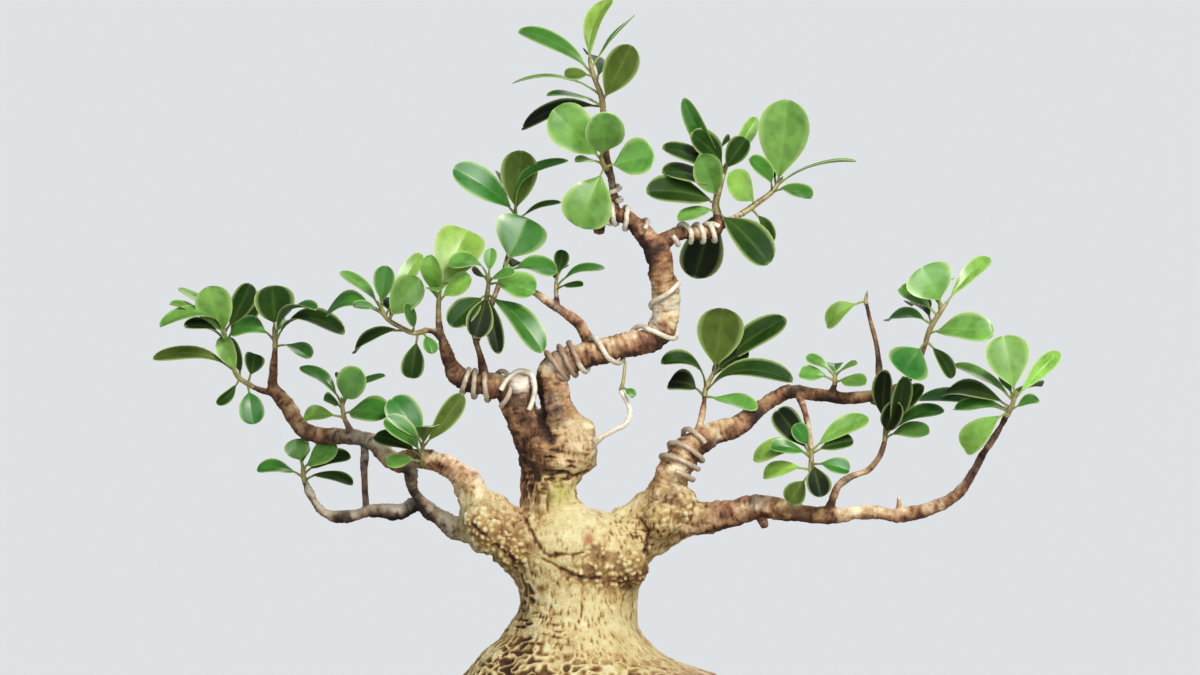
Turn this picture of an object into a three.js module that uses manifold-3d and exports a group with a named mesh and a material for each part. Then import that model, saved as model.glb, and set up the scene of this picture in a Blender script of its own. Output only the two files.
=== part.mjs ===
// A banyan bonsai in its training pot. Millimetres, +Z up, the front of the tree faces -Y.
// Places in the wood and the leaves are given from the soil line, where z is 0.

import * as THREE from 'three';
import { mergeVertices } from 'three/addons/utils/BufferGeometryUtils.js';
import Module from 'manifold-3d';

const wasm = await Module();
wasm.setup();

// Clearance between pieces that touch.
const GAP = 0.3;

// Pot, measured from the surface it stands on.
const POT_LENGTH = 300;
const POT_DEPTH = 210;
const POT_HEIGHT = 60;
const POT_CORNER = 26;
const POT_WALL = 8;
const POT_FLOOR = 9;
const POT_TAPER = 13;
const RIM_OVERHANG = 5;
const RIM_HEIGHT = 13;
const FOOT_LENGTH = 46;
const FOOT_DEPTH = 26;
const FOOT_HEIGHT = 8;
const FOOT_INSET = 20;
const DRAIN_RADIUS = 11;
const DRAIN_SPACING = 150;
const DRAIN_SIDES = 20;
const POINTS_A_CORNER = 4;
const SMALLEST_CORNER = 8;
const POT_CENTRE_X = 5;

// Drain screens.
const SCREEN_SIDE = 32;
const SCREEN_THICKNESS = 1.4;
const SCREEN_HOLES = 2;
const SCREEN_HOLE = 9;
const SCREEN_PITCH = 13;

// Soil: its highest level, round the trunk, how far it falls to the wall, and the mound's edge and
// shoulder: how far they are in from the wall and how far below the highest level.
const SOIL_LEVEL = 55;
const SOIL_FALL = 5;
const SOIL_MOUND = [[14, 1.6], [34, 0]];

// Leaves.
const BLADE_THICKNESS = 0.7;
const PETIOLE_LENGTH = 5;
const PETIOLE_SHARE = 0.28;
const PETIOLE_HALF = 0.38;
// Half width of a blade as a share of its widest half, from its base to its rounded tip.
// The small ones widen straight from the root.
const SMALL_BLADE_OUTLINE = [[0.3, 0.8], [0.75, 0.96], [1, 0.36]];
const LARGE_BLADE_OUTLINE = [[0, 0.1], [0.28, 0.74], [0.6, 1], [0.87, 0.8], [1, 0.32]];
const LARGE_BLADE_WIDTH = 15.5;
// Highest root of a leaf as a share of its shoot, and how far off the shoot's axis it starts.
const HIGHEST_ROOT = 0.93;
const ROOT_OFFSET = 0.5;
const ROOT_STEPS_A_SPAN = 8;
// Where between its root and its tip a leaf is bent.
const BEND_PLACE = 0.45;
// How much further than the gap a shoot starts from the end of its stem.
const END_SLACK = 0.1;

// Training wire.
const WIRE_RADIUS = 1.3;
const WIRE_STEPS_A_TURN = 7;
const WIRE_FINE_STEPS = 24;
// Radius of a winding's inside, as a share of the stem's, so that its straight steps clear the bark.
const WIRE_SLACK = 1.18;

// Number of flats round a stem.
const THICK_SIDES = 8;
const BRANCH_SIDES = 6;
const TWIG_SIDES = 5;
const SHOOT_SIDES = 4;
const WIRE_SIDES = 4;
const THICK_RADIUS = 8.5;
const BRANCH_RADIUS = 3;
// Steps along a branch for each span between its rows.
const BRANCH_STEPS = 1;

// Trunk, level by level: height, middle, half width and half depth.
const TRUNK_SIDES = 22;
const TRUNK_LEVELS = [
  [-13, 6, 60, 50],
  [-4, 6.5, 67, 55],
  [5, 7, 66, 54],
  [14, 6.5, 60, 50],
  [19, 1.5, 50, 44],
  [25, -1, 42.5, 38.5],
  [31, -0.5, 36.5, 34],
  [38, -1, 32, 31],
  [44, 0.5, 29.8, 29],
  [50, 1.3, 28.7, 27.5],
  [57.5, 1.5, 29.5, 27.5],
  [64.5, 2, 33.5, 28],
  [70, -0.5, 37.5, 28],
  [76, -1, 44, 27.5],
  [83, -2, 49, 25],
  [88, -3, 44, 21],
  [93, -7, 31, 16],
  [97, -10, 17, 10],
];
// Root ridges: bearing in degrees, share of the radius they add, half width in degrees.
const ROOT_RIDGES = [
  [8, 0.1, 12],
  [52, 0.07, 13],
  [98, 0.09, 14],
  [140, 0.06, 11],
  [176, 0.1, 12],
  [214, 0.07, 10],
  [243, 0.09, 9],
  [272, 0.05, 9],
  [300, 0.08, 10],
  [334, 0.07, 10],
];
const ROOT_RIDGE_HEIGHT = 44;
// The trunk's three shallow flutes, which turn a little from level to level.
const TRUNK_WOBBLE = 0.02;
const TRUNK_FLUTES = 3;
const TRUNK_TWIST = 0.9;

// Burls and calluses that stand out of the trunk: place and radius.
const BURLS = [
  [-46, -8, 92, 10.5],
  [-42, -13, 84, 10],
  [-32, -18, 76, 8.5],
  [50, -4, 97, 12],
  [43, -10, 91, 10],
  [27, -15, 68, 10.5],
];

// How far whole regions of the crown stand behind the plane of the trunk, or in front of it where
// it is negative: x and z of the region's middle, how far it reaches, and the depth in its middle.
const CROWN_DEPTHS = [
  [-182, 192, 58, 44],
  [-142, 122, 38, 24],
  [-102, 208, 34, -30],
  [-30, 264, 32, 26],
  [12, 318, 55, -30],
  [108, 268, 46, 30],
  [82, 176, 32, 24],
  [185, 200, 46, -36],
  [230, 155, 44, -50],
  [118, 116, 24, -16],
];

// Woody stems: place and radius along each, from inside the stem that carries it to its end.
const STEMS = {
  neck: [
    [-6, 0, 72, 20], [-10, 0, 88, 16.5], [-12.5, 0, 100, 14.2], [-12.5, 0, 109, 14.6],
    [-11, 0, 117, 17], [-9, 0, 126, 19.6], [-10, 0, 134, 19.5], [-12, 0, 140, 13], [-13, 0, 144, 5],
  ],
  left_arm: [
    [-22, 0, 77, 17], [-36, 0, 86, 14.5], [-45, 0, 95, 11.8], [-50, -1, 103, 8.8],
    [-55.5, -1, 111.5, 7], [-62, -1, 117, 5.8], [-70, -1, 120.5, 5], [-80, 0, 122, 4.7],
    [-87, 1, 120, 4.7],
  ],
  upper_left: [
    [-80, 0, 122, 4.6], [-88, 2, 119.5, 4.6], [-96, 4, 124.5, 4.3], [-102.5, 6, 130, 4.1],
    [-112.5, 7, 132.5, 4], [-122, 8, 132.5, 4.1], [-136.5, 10, 135.5, 4.4], [-146, 13, 149, 4.1],
    [-152.5, 15, 157, 3.1], [-152.5, 15, 164, 2.4], [-151.5, 16, 177.5, 1.5],
  ],
  far_left_twig: [[-151, 14, 154, 2.2], [-156, 16, 155, 1.7], [-162.5, 18, 157, 1.4]],
  lower_left: [
    [-42, 8, 82, 8], [-57.5, 14, 86, 5.8], [-67.5, 17, 91, 4.6], [-77.5, 18, 98.5, 3.7],
    [-87.5, 18, 95, 3.6], [-102.5, 17, 95, 3.3], [-115, 17, 92, 3], [-125, 18, 93.5, 2.7],
    [-132.5, 19, 101, 2.2], [-136, 20, 109, 1.6],
  ],
  hanging_twig: [[-105.5, 7, 129, 2.2], [-106, 11, 115, 1.7], [-105, 16, 97, 2]],
  gnarled_twig: [[-83, 3, 118, 3.5], [-81, 9, 106, 2.7], [-70, 16, 93, 3]],
  fan_twig: [[-112.5, 6, 133, 2], [-114, 3, 138, 1.6], [-116, 1, 142, 1.3]],
  arm_twig: [[-75, -3, 120, 2], [-75.5, -9, 119.5, 1.5]],
  left_stem: [
    [-18, 0, 126, 11], [-24, 0, 138, 9.6], [-28, 0, 147, 8.8], [-35, -1, 156.5, 6.8],
    [-45.5, -2, 158.5, 5.6], [-53, -2, 160, 5], [-60, -2, 164.5, 4.4], [-64, -3, 174, 3.6],
    [-67, -3, 184, 2.2], [-68, -3, 191, 1.5],
  ],
  cut_stub: [[-26, -1, 148, 6.5], [-26.5, -4, 157, 5.6], [-27.5, -6, 163, 4.8]],
  mid_left_twig: [[-66, -3, 181, 2.2], [-70, -3, 185, 1.6], [-74, -2, 186, 1.4]],
  mid_twig: [
    [-45, -3, 160, 2.6], [-47, -6, 172, 1.8], [-50, -8, 184, 1.5], [-47, -6, 195, 1.3],
    [-44, -5, 202, 1.2],
  ],
  mid_top_twig: [
    [-49, -6, 181, 1.7], [-43, 2, 196, 1.5], [-37, 8, 212, 1.4], [-32, 8, 228, 1.3],
    [-30.5, 7, 238, 1.2],
  ],
  right_stem: [
    [-5, 0, 122, 13], [-4, 0, 133, 11.5], [-8.5, 0, 146, 8.8], [-11.5, -1, 157, 7.6],
    [-11.5, -2, 166, 6.8], [0, -3, 172, 6.8], [12.5, -3, 175, 6.3], [25, -3, 178.5, 6.3],
    [37.5, -2, 181.5, 6.6], [45, -1, 189.5, 6.8], [46, 0, 201, 6.7], [44, 1, 211, 6.8],
    [41.5, 1, 223.5, 6.8], [40, 2, 232, 6],
  ],
  inner_stem: [
    [8, 3, 179, 3.4], [1, 6, 190, 2.9], [-5, 8, 194.5, 2.5], [-12, 8, 199, 2.1], [-20, 8, 204.5, 1.8],
    [-28, 5, 209, 1.5], [-33, 3, 212, 1.3],
  ],
  inner_twig: [[-9, 8, 197.5, 1.8], [-9.5, 7, 205, 1.2]],
  left_fork: [
    [39, 1, 229, 5.6], [32.5, 1, 236, 4.5], [27, 2, 241.5, 3.8], [17.5, 3, 244, 3.4], [13, 5, 241, 3.2],
    [11.5, 8, 235, 2.9],
  ],
  top_stem: [
    [20, 3, 242, 2.7], [19.5, 6, 252, 2.2], [18, 8, 262, 2], [15, 8, 276, 1.9], [14.5, 7, 288, 1.8],
    [14, 5, 297, 1.6],
  ],
  crown_twig: [[17, 8, 264, 1.8], [15.5, 2, 266.5, 1.5]],
  right_fork: [
    [41, 2, 228, 5.6], [48.5, 2, 233, 3.9], [55, 2, 234.5, 3.3], [62.5, 2, 234.5, 3.1],
    [71, 2, 236, 3], [71.5, 3, 244, 2.2],
  ],
  crown_tip_twig: [[71.5, 2, 237, 2.4], [78, 2, 241, 2], [84, 1, 244.5, 1.6]],
  right_arm: [
    [18, 0, 76, 17], [33, 0, 87, 13.5], [43, 0, 99, 11.5], [47, 0, 109, 8.6], [51.5, 1, 118, 8.2],
    [58, 2, 127.5, 7.4], [70, 3, 134.5, 6], [82.5, 4, 139, 5], [95, 5, 148.5, 4], [107.5, 6, 155, 3.6],
    [122.5, 6, 153.5, 3.2], [137.5, 6, 152, 3], [152.5, 5, 154, 2.7], [160, 3, 156.5, 2.2],
    [165, 1, 160, 1.8], [171, -1, 170, 1.5], [174, -2, 179, 1.3],
  ],
  right_fan_twig: [[60, 3, 131, 2.2], [63, 7, 140, 1.8], [64.5, 10, 148, 1.5], [65, 12, 152.5, 1.3]],
  right_small_twig: [[128, 6, 153.5, 2], [130, 4, 159, 1.3]],
  right_single_twig: [
    [151, 5, 154.5, 2.2], [152, 6, 163, 1.8], [151.5, 7, 171, 1.6], [150, 8, 181, 1.4],
    [147, 8, 192, 1.2], [145.5, 7, 199, 1.1],
  ],
  right_hanging_twig: [
    [112, 4, 153, 2], [114, -4, 148, 1.6], [116.5, -10, 137, 1.4], [117.5, -12, 126, 1.3],
  ],
  right_low_arm: [
    [26, 0, 80, 14], [47, -2, 89, 10.5], [62.5, -4, 91.5, 8], [77.5, -6, 94, 7], [92.5, -8, 98, 5.8],
    [107.5, -9, 95, 4.8], [127.5, -9, 93.5, 4.1], [147.5, -8, 95, 3.7], [162.5, -8, 93.5, 3.5],
    [177.5, -7, 97, 3.2], [190, -6, 103.5, 2.8], [197.5, -5, 113.5, 2.3], [202.5, -4, 123.5, 2],
    [210, -3, 136, 1.7], [214, -3, 144, 1.5],
  ],
  stub_below: [[92, -7, 95, 3.4], [95, -5, 87.5, 2]],
  thorn: [[162, -8, 95, 1.8], [161.5, -10, 103, 0.9]],
  right_low_twig: [
    [126, -8, 95, 2.8], [129, -6, 103, 2.1], [131, -4, 108, 1.9], [138, -2, 113, 1.8],
    [146.5, 0, 116, 1.7], [152.5, 2, 123.5, 1.5], [155, 3, 131, 1.4],
  ],
  bud_twig: [
    [7, -8, 128, 2.6], [13, -12, 132.5, 1.8], [18.5, -14, 135.5, 1.5], [25.5, -15, 139.5, 1.4],
    [27.5, -15, 145, 1.4], [25.5, -15, 151, 1.3], [22.5, -15, 156, 1.2],
  ],
};
const STEM_WOBBLE = 0.05;
// How quickly a stem's girth swells and shrinks along it, and how fast that turns round it.
const SWELL_ALONG = 1.9;
const SWELL_TWIST = 1.3;
// The side of a stem's first ring that its flats are counted from.
const FIRST_SIDE = new THREE.Vector3(0.3, -1, 0.2);

// Leafy shoots. Each grows on from the end of the stem it names, through its own points.
// A leaf row holds its place along the shoot from 0 to 1, its tip, its width, the turn of its
// face from the front towards the right and its tilt from level to upwards, in degrees, and its arch.
const SPRAYS = {
  spray_far_left: {
    stem: 'upper_left',
    shoot: [[-151.5, 16, 181, 1.4], [-152, 16, 186, 1.1]],
    leaves: [
      [1, -153, 12, 208.5, 21, 10, 20, 0.1], [0.5, -174, 6, 185.5, 15, -15, 48, 0.3],
      [0.6, -130, 10, 196, 12, 20, 55, 0.2], [0.4, -116, 22, 184, 15, 10, 55, 0.25],
      [0.1, -134, 4, 172, 13, 30, 40, 0.1], [0.6, -158, 40, 197, 14, 180, 40, 0.18],
    ],
  },
  spray_far_left_low: {
    stem: 'far_left_twig',
    shoot: [[-170.5, 20, 162.5, 1.3], [-175, 19, 173, 1.2], [-179, 18, 192, 1]],
    leaves: [
      [0.9, -185.5, 8, 208, 19, -5, 20, 0.08], [1, -201, 24, 207, 10, -30, 70, 0.1],
      [0.95, -205, 16, 199, 11, 0, 70, 0.1], [0.85, -209.5, 12, 187.5, 13, 0, 62, 0.36],
      [0.7, -197, 0, 188, 15, -10, 60, 0.2], [0.95, -164.5, 22, 209.5, 13, 35, 25, 0.08],
      [0.85, -161, 26, 198.5, 11, 30, 55, 0.15], [0.5, -213.5, 28, 171.5, 11, -10, 50, 0.17],
      [0.3, -178, 34, 182, 9, 160, 20, 0.1], [0.14, -162, 14, 138.5, 13, 0, 0, 0.1],
      [0.3, -181, 14, 149, 7, 60, 0, 0.1], [0.3, -178.5, 10, 183, 10, -15, 0, 0.08],
      [0.12, -162.5, 24, 174, 11, 20, 10, 0.08],
    ],
  },
  spray_left_fan: {
    stem: 'fan_twig',
    shoot: [[-116.5, 0, 146, 1.2], [-117, -1, 150, 1]],
    leaves: [
      [0.9, -138, -6, 167.5, 9, -30, 60, 0.18], [1, -107, -8, 166.5, 16, 10, 25, 0.1],
      [0.8, -95, 8, 163, 9, 20, 65, 0.15], [0.6, -126, -12, 151, 9, -20, 40, 0.1],
      [0.3, -93.5, -10, 143.5, 17, 15, 25, 0.1], [0.7, -120, 24, 162, 12, 170, 45, 0.15],
      [0.05, -136.5, -5, 141.5, 11, -10, 45, 0.1],
    ],
  },
  spray_left_arm: {
    stem: 'arm_twig',
    shoot: [[-76, -12, 122, 1.3], [-76, -13, 128, 1]],
    leaves: [
      [1, -91.5, -14, 151.5, 18, 0, 35, 0.16], [0.7, -95, -24, 141.5, 13, -30, 45, 0.14],
      [1, -56, -12, 154, 11, 35, 30, 0.1], [0.2, -94, -16, 119, 11, -10, 50, 0.1],
      [0.6, -100, -9, 133, 12, -20, 50, 0.1], [0.8, -71, -34, 138, 12, 10, 60, 0.2],
    ],
  },
  spray_left_low: {
    stem: 'lower_left',
    shoot: [[-137, 20, 112, 1.4], [-137.5, 20, 117, 1]],
    leaves: [
      [0.5, -160.5, 16, 115.5, 12, -10, 55, 0.15], [0.9, -119.5, 10, 126, 15, 10, 35, 0.12],
      [1, -141.5, 13, 131, 13, -10, 30, 0.1], [0.7, -113, 22, 122, 12, 10, 50, 0.12],
      [0.3, -112, 14, 108, 10, 10, 55, 0.15], [0.8, -142, 42, 126, 12, 190, 45, 0.15],
    ],
  },
  spray_mid_left: {
    stem: 'mid_left_twig',
    shoot: [[-80, 0, 184.5, 1.3], [-88, 2, 188, 1.2], [-94, 3, 192, 1.1], [-97, 3, 198, 1]],
    leaves: [
      [0.95, -124, -4, 194.5, 15, -10, 50, 0.24], [1, -117, 8, 215, 9, -40, 70, 0.1],
      [1, -94, -2, 218, 11, 0, 25, 0.08], [0.85, -77, 6, 224, 9, 30, 50, 0.15],
      [0.75, -77, -10, 211.5, 17, 15, 30, 0.1], [0.8, -110, -12, 197.5, 11, -15, 55, 0.1],
      [0.4, -110, 6, 174.5, 13, -10, 50, 0.14], [0.3, -85, -12, 198, 9, 0, 30, 0.1],
      [0.2, -82, -8, 162, 12, 0, -10, 0.1], [0.1, -71, -14, 174, 8, 20, 10, 0.1],
      [0.7, -92, 28, 202, 12, 180, 45, 0.15],
    ],
  },
  spray_mid_stem: {
    stem: 'left_stem',
    shoot: [[-68, -3, 198, 1.4], [-67.5, -3, 206, 1.1]],
    leaves: [
      [1, -53.5, -4, 236, 25, 0, 15, 0.08], [0.9, -71, -22, 223.5, 12, -15, 30, 0.1],
      [0.8, -73, 26, 218, 13, 180, 40, 0.15], [0.5, -68, -30, 205, 11, -10, 55, 0.2],
      [0.7, -51.5, -20, 212, 12, 15, 35, 0.1],
    ],
  },
  spray_mid: {
    stem: 'mid_twig',
    shoot: [[-43.5, -6, 206, 1.1], [-43, -8, 212, 0.9]],
    leaves: [
      [1, -42, -12, 227, 7, 0, 20, 0.08], [0.95, -62.5, -18, 218, 14, -10, 52, 0.26],
      [0.3, -16, -24, 175, 15, 20, 30, 0.12], [0.3, -38, -20, 174, 9, 0, 20, 0.12],
      [0.8, -20, -18, 204.5, 17, 10, 38, 0.12], [0.9, -30, -26, 214, 8, 10, 30, 0.1],
      [0.25, -62, -18, 188, 14, -20, 0, 0.1], [0.25, -50, -24, 182, 14, 0, -10, 0.1],
      [0.7, -50, 14, 214, 11, 180, 40, 0.12],
    ],
  },
  spray_inner_tip: {
    stem: 'inner_stem',
    shoot: [[-34.5, 1, 214.5, 1.1], [-35, -1, 218, 1]],
    leaves: [
      [1, -23.5, -6, 242, 27, 0, 10, 0.07], [0.6, -9, -2, 215, 15, 10, 52, 0.16],
      [0.5, -24, 22, 218, 12, 150, 50, 0.15],
    ],
  },
  spray_mid_top: {
    stem: 'mid_top_twig',
    shoot: [[-30, 7, 241, 1.1], [-30, 6, 246, 1]],
    leaves: [
      [0.9, -61, 4, 267, 17, -25, 38, 0.12], [0.8, -27, 2, 276, 19, 0, 12, 0.07],
      [0.8, -3.5, 12, 271, 9, 30, 60, 0.28], [0.4, -7, 8, 250, 8, 10, 65, 0.1],
      [0.8, -37, 34, 264, 14, 190, 40, 0.15],
    ],
  },
  spray_inner: {
    stem: 'inner_twig',
    shoot: [[-9.5, 7, 207, 1.1], [-9.5, 7, 210, 0.9]],
    leaves: [
      [0.7, 15, 4, 217, 11, 10, 65, 0.15], [0.4, 4, -3, 208, 7, 10, 50, 0.1],
      [1, -6, 10, 226, 8, 20, 50, 0.1], [0.6, -6, 28, 217, 10, 180, 45, 0.15],
    ],
  },
  spray_crown: {
    stem: 'top_stem',
    shoot: [[13, 5, 303, 1.4], [9.5, 5, 312, 1.2], [7.5, 5, 319, 1]],
    leaves: [
      [1, 18, 2, 351, 12, -38, 10, 0.2], [0.75, -28, 8, 335.5, 13, -20, 60, 0.12],
      [0.35, -31, -2, 309, 10, 0, 80, 0.14], [0.95, 30, 10, 343, 9, -75, 40, 0.04],
      [0.2, 28, -7, 327.5, 17, 15, 20, 0.08], [0.05, -14, -8, 302.5, 11, -10, 72, 0.1],
      [0.05, -26, 18, 287.5, 14, -20, 40, 0.1], [0.7, -5, -8, 312, 9, -20, 30, 0.1],
      [0.6, 6, 34, 324, 13, 180, 40, 0.15],
    ],
  },
  spray_crown_round: {
    stem: 'crown_twig',
    shoot: [[14, -2, 268.5, 1.3], [13, -5, 272, 1]],
    leaves: [
      [0.9, -11, -11, 295.5, 23, -10, 20, 0.08], [1, 15.5, -19, 294, 20, 5, 25, 0.08],
      [0.3, 39.5, -8, 273.5, 20, 15, 20, 0.02], [0.3, 2.5, -15, 237, 26, -10, 0, 0.08],
      [0.6, 0, -15, 270, 7, 0, 60, 0.1],
    ],
  },
  spray_right_crown: {
    stem: 'right_fork',
    shoot: [[70.5, 3, 249, 1.9], [73, 7, 259, 1.5], [76, 9, 269, 1.2]],
    leaves: [
      [1, 54.5, 8, 302, 10, -30, 30, 0.1], [0.95, 58, 0, 284, 15, -10, 30, 0.1],
      [1, 91, 14, 293, 8, 40, 40, 0.1], [0.6, 43.5, 8, 277, 15, -20, 50, 0.2],
      [0.5, 62, -13, 273.5, 16, 0, 15, 0.07], [0.35, 35.5, -6, 255, 17, -10, 28, 0.12],
      [0.5, 43.5, 0, 264.5, 15, -15, 45, 0.18], [0.12, 51.5, -10, 240.5, 9, -10, 30, 0.1],
      [0.9, 86, -2, 282, 12, 20, 40, 0.12], [0.1, 97, -14, 219, 19, 15, 20, 0.1],
      [0.16, 60, 21, 212, 22, 0, -30, -0.08], [0.8, 78, 36, 282, 13, 180, 40, 0.15],
    ],
  },
  spray_right_crown_tip: {
    stem: 'crown_tip_twig',
    shoot: [[92.5, 0, 250.5, 1.6], [99, 0, 255.5, 1.4], [103, 0, 261, 1.1]],
    leaves: [
      [1, 106.5, -4, 301.5, 26, 0, 12, 0.07], [0.7, 87, -12, 271.5, 12, -20, 40, 0.15],
      [0.95, 141, 2, 270.5, 9, 0, 82, 0.1], [0.7, 118.5, -8, 252, 12, 10, 50, 0.15],
      [0.25, 76.5, -17, 264, 15, 0, 15, 0.07], [0.2, 98, 10, 229, 12, 45, 20, 0.1],
      [0.9, 107, 30, 274, 13, 180, 40, 0.15],
    ],
  },
  spray_right_fan: {
    stem: 'right_fan_twig',
    shoot: [[65.5, 12, 156, 1.3], [69, 14, 163, 1.2], [73, 16, 169, 1]],
    leaves: [
      [0.8, 74, 10, 197, 24, 5, 15, 0.07], [0.9, 106, 16, 192, 15, 20, 40, 0.1],
      [0.7, 87, 4, 175.5, 13, 20, 40, 0.12], [0.4, 43, 6, 169.5, 13, 0, 55, 0.28],
      [0.06, 47, 18, 159.5, 14, -15, 38, 0.28], [0.3, 109, 4, 160, 16, 10, 52, 0.22],
      [0.05, 91, -4, 146.5, 11, 10, 45, 0.04], [0.8, 68, 44, 184, 14, 180, 40, 0.15],
      [0.5, 86, 38, 166, 13, 150, 45, 0.15],
    ],
  },
  spray_right_small: {
    stem: 'right_small_twig',
    shoot: [[130, 4, 161, 1.2], [130, 4, 164, 1]],
    leaves: [
      [0.9, 116, 0, 173, 7, -20, 50, 0.1], [0.5, 112, -6, 163.5, 11, -20, 45, 0.12],
      [0.9, 141, 2, 169, 7, 20, 50, 0.1], [0.3, 145, -6, 159, 10, 10, 30, 0.1],
      [0.5, 130, 22, 169, 9, 180, 40, 0.15],
    ],
  },
  spray_right_hanging: {
    stem: 'right_hanging_twig',
    shoot: [[117.5, -13, 121, 1.2], [117, -13, 114, 1]],
    leaves: [
      [0.25, 101, -22, 146, 14, -10, 20, 0.1], [0.1, 146, -16, 142.5, 12, 20, 45, 0.12],
      [0.3, 89, -20, 122, 14, -20, 40, 0.24], [0.4, 97, -30, 128, 9, -10, 40, 0.15],
      [0.1, 109, -28, 139, 9, -10, 30, 0.1], [0.2, 138.5, -20, 131, 10, 10, 40, 0.1],
      [0.7, 136.5, -22, 116, 10, 10, 30, 0.12], [0.9, 94, -18, 113, 11, -10, 40, 0.15],
      [1, 106.5, -22, 100, 12, -10, 10, 0.1], [0.5, 122, -27, 103, 13, 10, -5, 0.08],
    ],
  },
  spray_right_high: {
    stem: 'right_arm',
    shoot: [[176, -3, 186, 1.3], [180, -3, 193, 1.2], [184, -2, 199, 1]],
    leaves: [
      [0.95, 172, -18, 217, 25, -10, 35, 0.1], [1, 206.5, 0, 222, 9, 20, 50, 0.12],
      [0.7, 162, -2, 207, 9, -20, 40, 0.1], [0.5, 156, 4, 190.5, 12, 0, 48, 0.15],
      [0.25, 207, -6, 184, 17, 10, 32, 0.12], [0.08, 162.5, -18, 164.5, 23, 0, 15, 0.08],
      [0.1, 187, -8, 162, 9, 30, 10, 0.1], [0.8, 186, 28, 210, 13, 180, 40, 0.15],
      [0.5, 168, 26, 198, 12, 200, 45, 0.15],
    ],
  },
  spray_right_single: {
    stem: 'right_single_twig',
    shoot: [[145, 7, 200, 1], [145.5, 7, 203, 0.8]],
    leaves: [[0.7, 126, 2, 188.5, 13, -15, 35, 0.12]],
  },
  spray_right_low: {
    stem: 'right_low_twig',
    shoot: [[155, 3, 134, 1.3], [155.5, 3, 139, 1.1]],
    leaves: [
      [1, 155, -12, 166, 12, -20, 15, 0.08], [1, 163, -14, 163, 12, 20, 20, 0.1],
      [0.5, 161, -12, 150, 11, 10, 30, 0.1], [0.2, 176.5, -4, 134.5, 12, 10, 42, 0.12],
      [0.8, 174, 6, 158, 11, 30, 42, 0.1], [0.5, 184, 8, 146, 12, 15, 50, 0.12],
      [0.6, 149, 27, 149, 12, 190, 40, 0.15],
    ],
  },
  spray_far_right: {
    stem: 'right_low_arm',
    shoot: [[216, -3, 148, 1.4], [218, -3, 154, 1.1]],
    leaves: [
      [1, 212, -5, 183, 22, 0, 12, 0.07], [0.9, 240, -1, 175, 9, 30, 40, 0.1],
      [0.8, 187.5, 12, 168, 10, -10, 72, 0.08], [0.5, 183.5, 6, 154, 14, -10, 52, 0.14],
      [0.3, 188.5, -8, 146.5, 12, -10, 55, 0.1], [0.3, 230, 2, 151, 9, 30, 55, 0.1],
      [0.25, 193.5, -16, 127, 15, -10, 20, 0.12], [0.8, 220, 28, 170, 13, 180, 40, 0.15],
      [0.4, 232, 24, 158, 12, 150, 45, 0.15], [0.35, 172, 14, 151.5, 11, -10, 45, 0.08],
    ],
  },
  spray_bud: {
    stem: 'bud_twig',
    shoot: [[24, -15, 160, 1], [25, -14, 169, 0.7]],
    leaves: [[0.25, 30, -19, 153, 5, 10, 10, 0.1]],
  },
};

// Training wire. A winding row holds the place along the stem, counted in its points, and the
// turns made up to there. The tail is the loose end, in places of its own.
const WIRES = {
  wire_right_stem: {
    stem: 'right_stem',
    winding: [[4, 0], [5.1, 3], [6.2, 4], [8.4, 5], [10.8, 6.1]],
    tail: [],
  },
  wire_left_fork: { stem: 'left_fork', winding: [[0.9, 0], [2.2, 1], [3.6, 3.4]], tail: [] },
  wire_right_fork: { stem: 'right_fork', winding: [[0.9, 0], [2.2, 1], [3, 2], [4.1, 4]], tail: [] },
  wire_left_stem: { stem: 'left_stem', winding: [[3.3, 0.2], [4.2, 1.2], [5.4, 3.2]], tail: [] },
  wire_right_branch: { stem: 'right_arm', winding: [[3.6, 0], [4.4, 1.4], [5.4, 3.1]], tail: [] },
  wire_crown: { stem: 'top_stem', winding: [[0.8, 0], [1.6, 1.4]], tail: [] },
  wire_stub: {
    stem: 'cut_stub',
    winding: [],
    tail: [
      [-37, -11, 156], [-34, -10, 161], [-28, -8, 165.5], [-22, -9, 164], [-20, -11, 158],
      [-21, -12, 151], [-23, -13, 146],
    ],
  },
};

// Finishes.
const FINISH = {
  bark: { color: 0xc2a877, roughness: 0.85, metalness: 0 },
  leaf: { color: 0x4c9a3a, roughness: 0.4, metalness: 0 },
  wire: { color: 0xd8cdb4, roughness: 0.4, metalness: 0.8 },
  clay: { color: 0x6b4a3a, roughness: 0.8, metalness: 0 },
  soil: { color: 0x4a3828, roughness: 0.95, metalness: 0 },
  screen: { color: 0x2c2f2c, roughness: 0.6, metalness: 0 },
};

// Depth of the crown, which the wood and the leaves share.

function crownDepth(x, z) {
  return CROWN_DEPTHS.reduce((sum, [middleX, middleZ, reach, depth]) => {
    const away = Math.hypot(x - middleX, z - middleZ) / reach;
    return sum + depth * Math.exp(-away * away);
  }, 0);
}

function placeOf([x, y, z]) {
  return new THREE.Vector3(x, y + crownDepth(x, z), z);
}

// Solids from triangles, and triangles from solids.

function solidFrom(geometry) {
  const bare = geometry.clone();
  bare.deleteAttribute('normal');
  bare.deleteAttribute('uv');
  const merged = mergeVertices(bare);
  return new wasm.Manifold(new wasm.Mesh({
    numProp: 3,
    vertProperties: new Float32Array(merged.attributes.position.array),
    triVerts: new Uint32Array(merged.index.array),
  }));
}

function geometryFrom(solid) {
  const mesh = solid.getMesh();
  const geometry = new THREE.BufferGeometry();
  geometry.setAttribute('position', new THREE.BufferAttribute(mesh.vertProperties, mesh.numProp));
  geometry.setIndex(new THREE.BufferAttribute(mesh.triVerts, 1));
  geometry.computeVertexNormals();
  return geometry;
}

function join(solids) {
  return solids.reduce((whole, solid) => whole.add(solid));
}

// The largest body of a solid that a cut may have left in several.
function mainBody(solid) {
  const bodies = solid.decompose();
  return bodies.reduce((best, body) => (body.volume() > best.volume() ? body : best));
}

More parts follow.
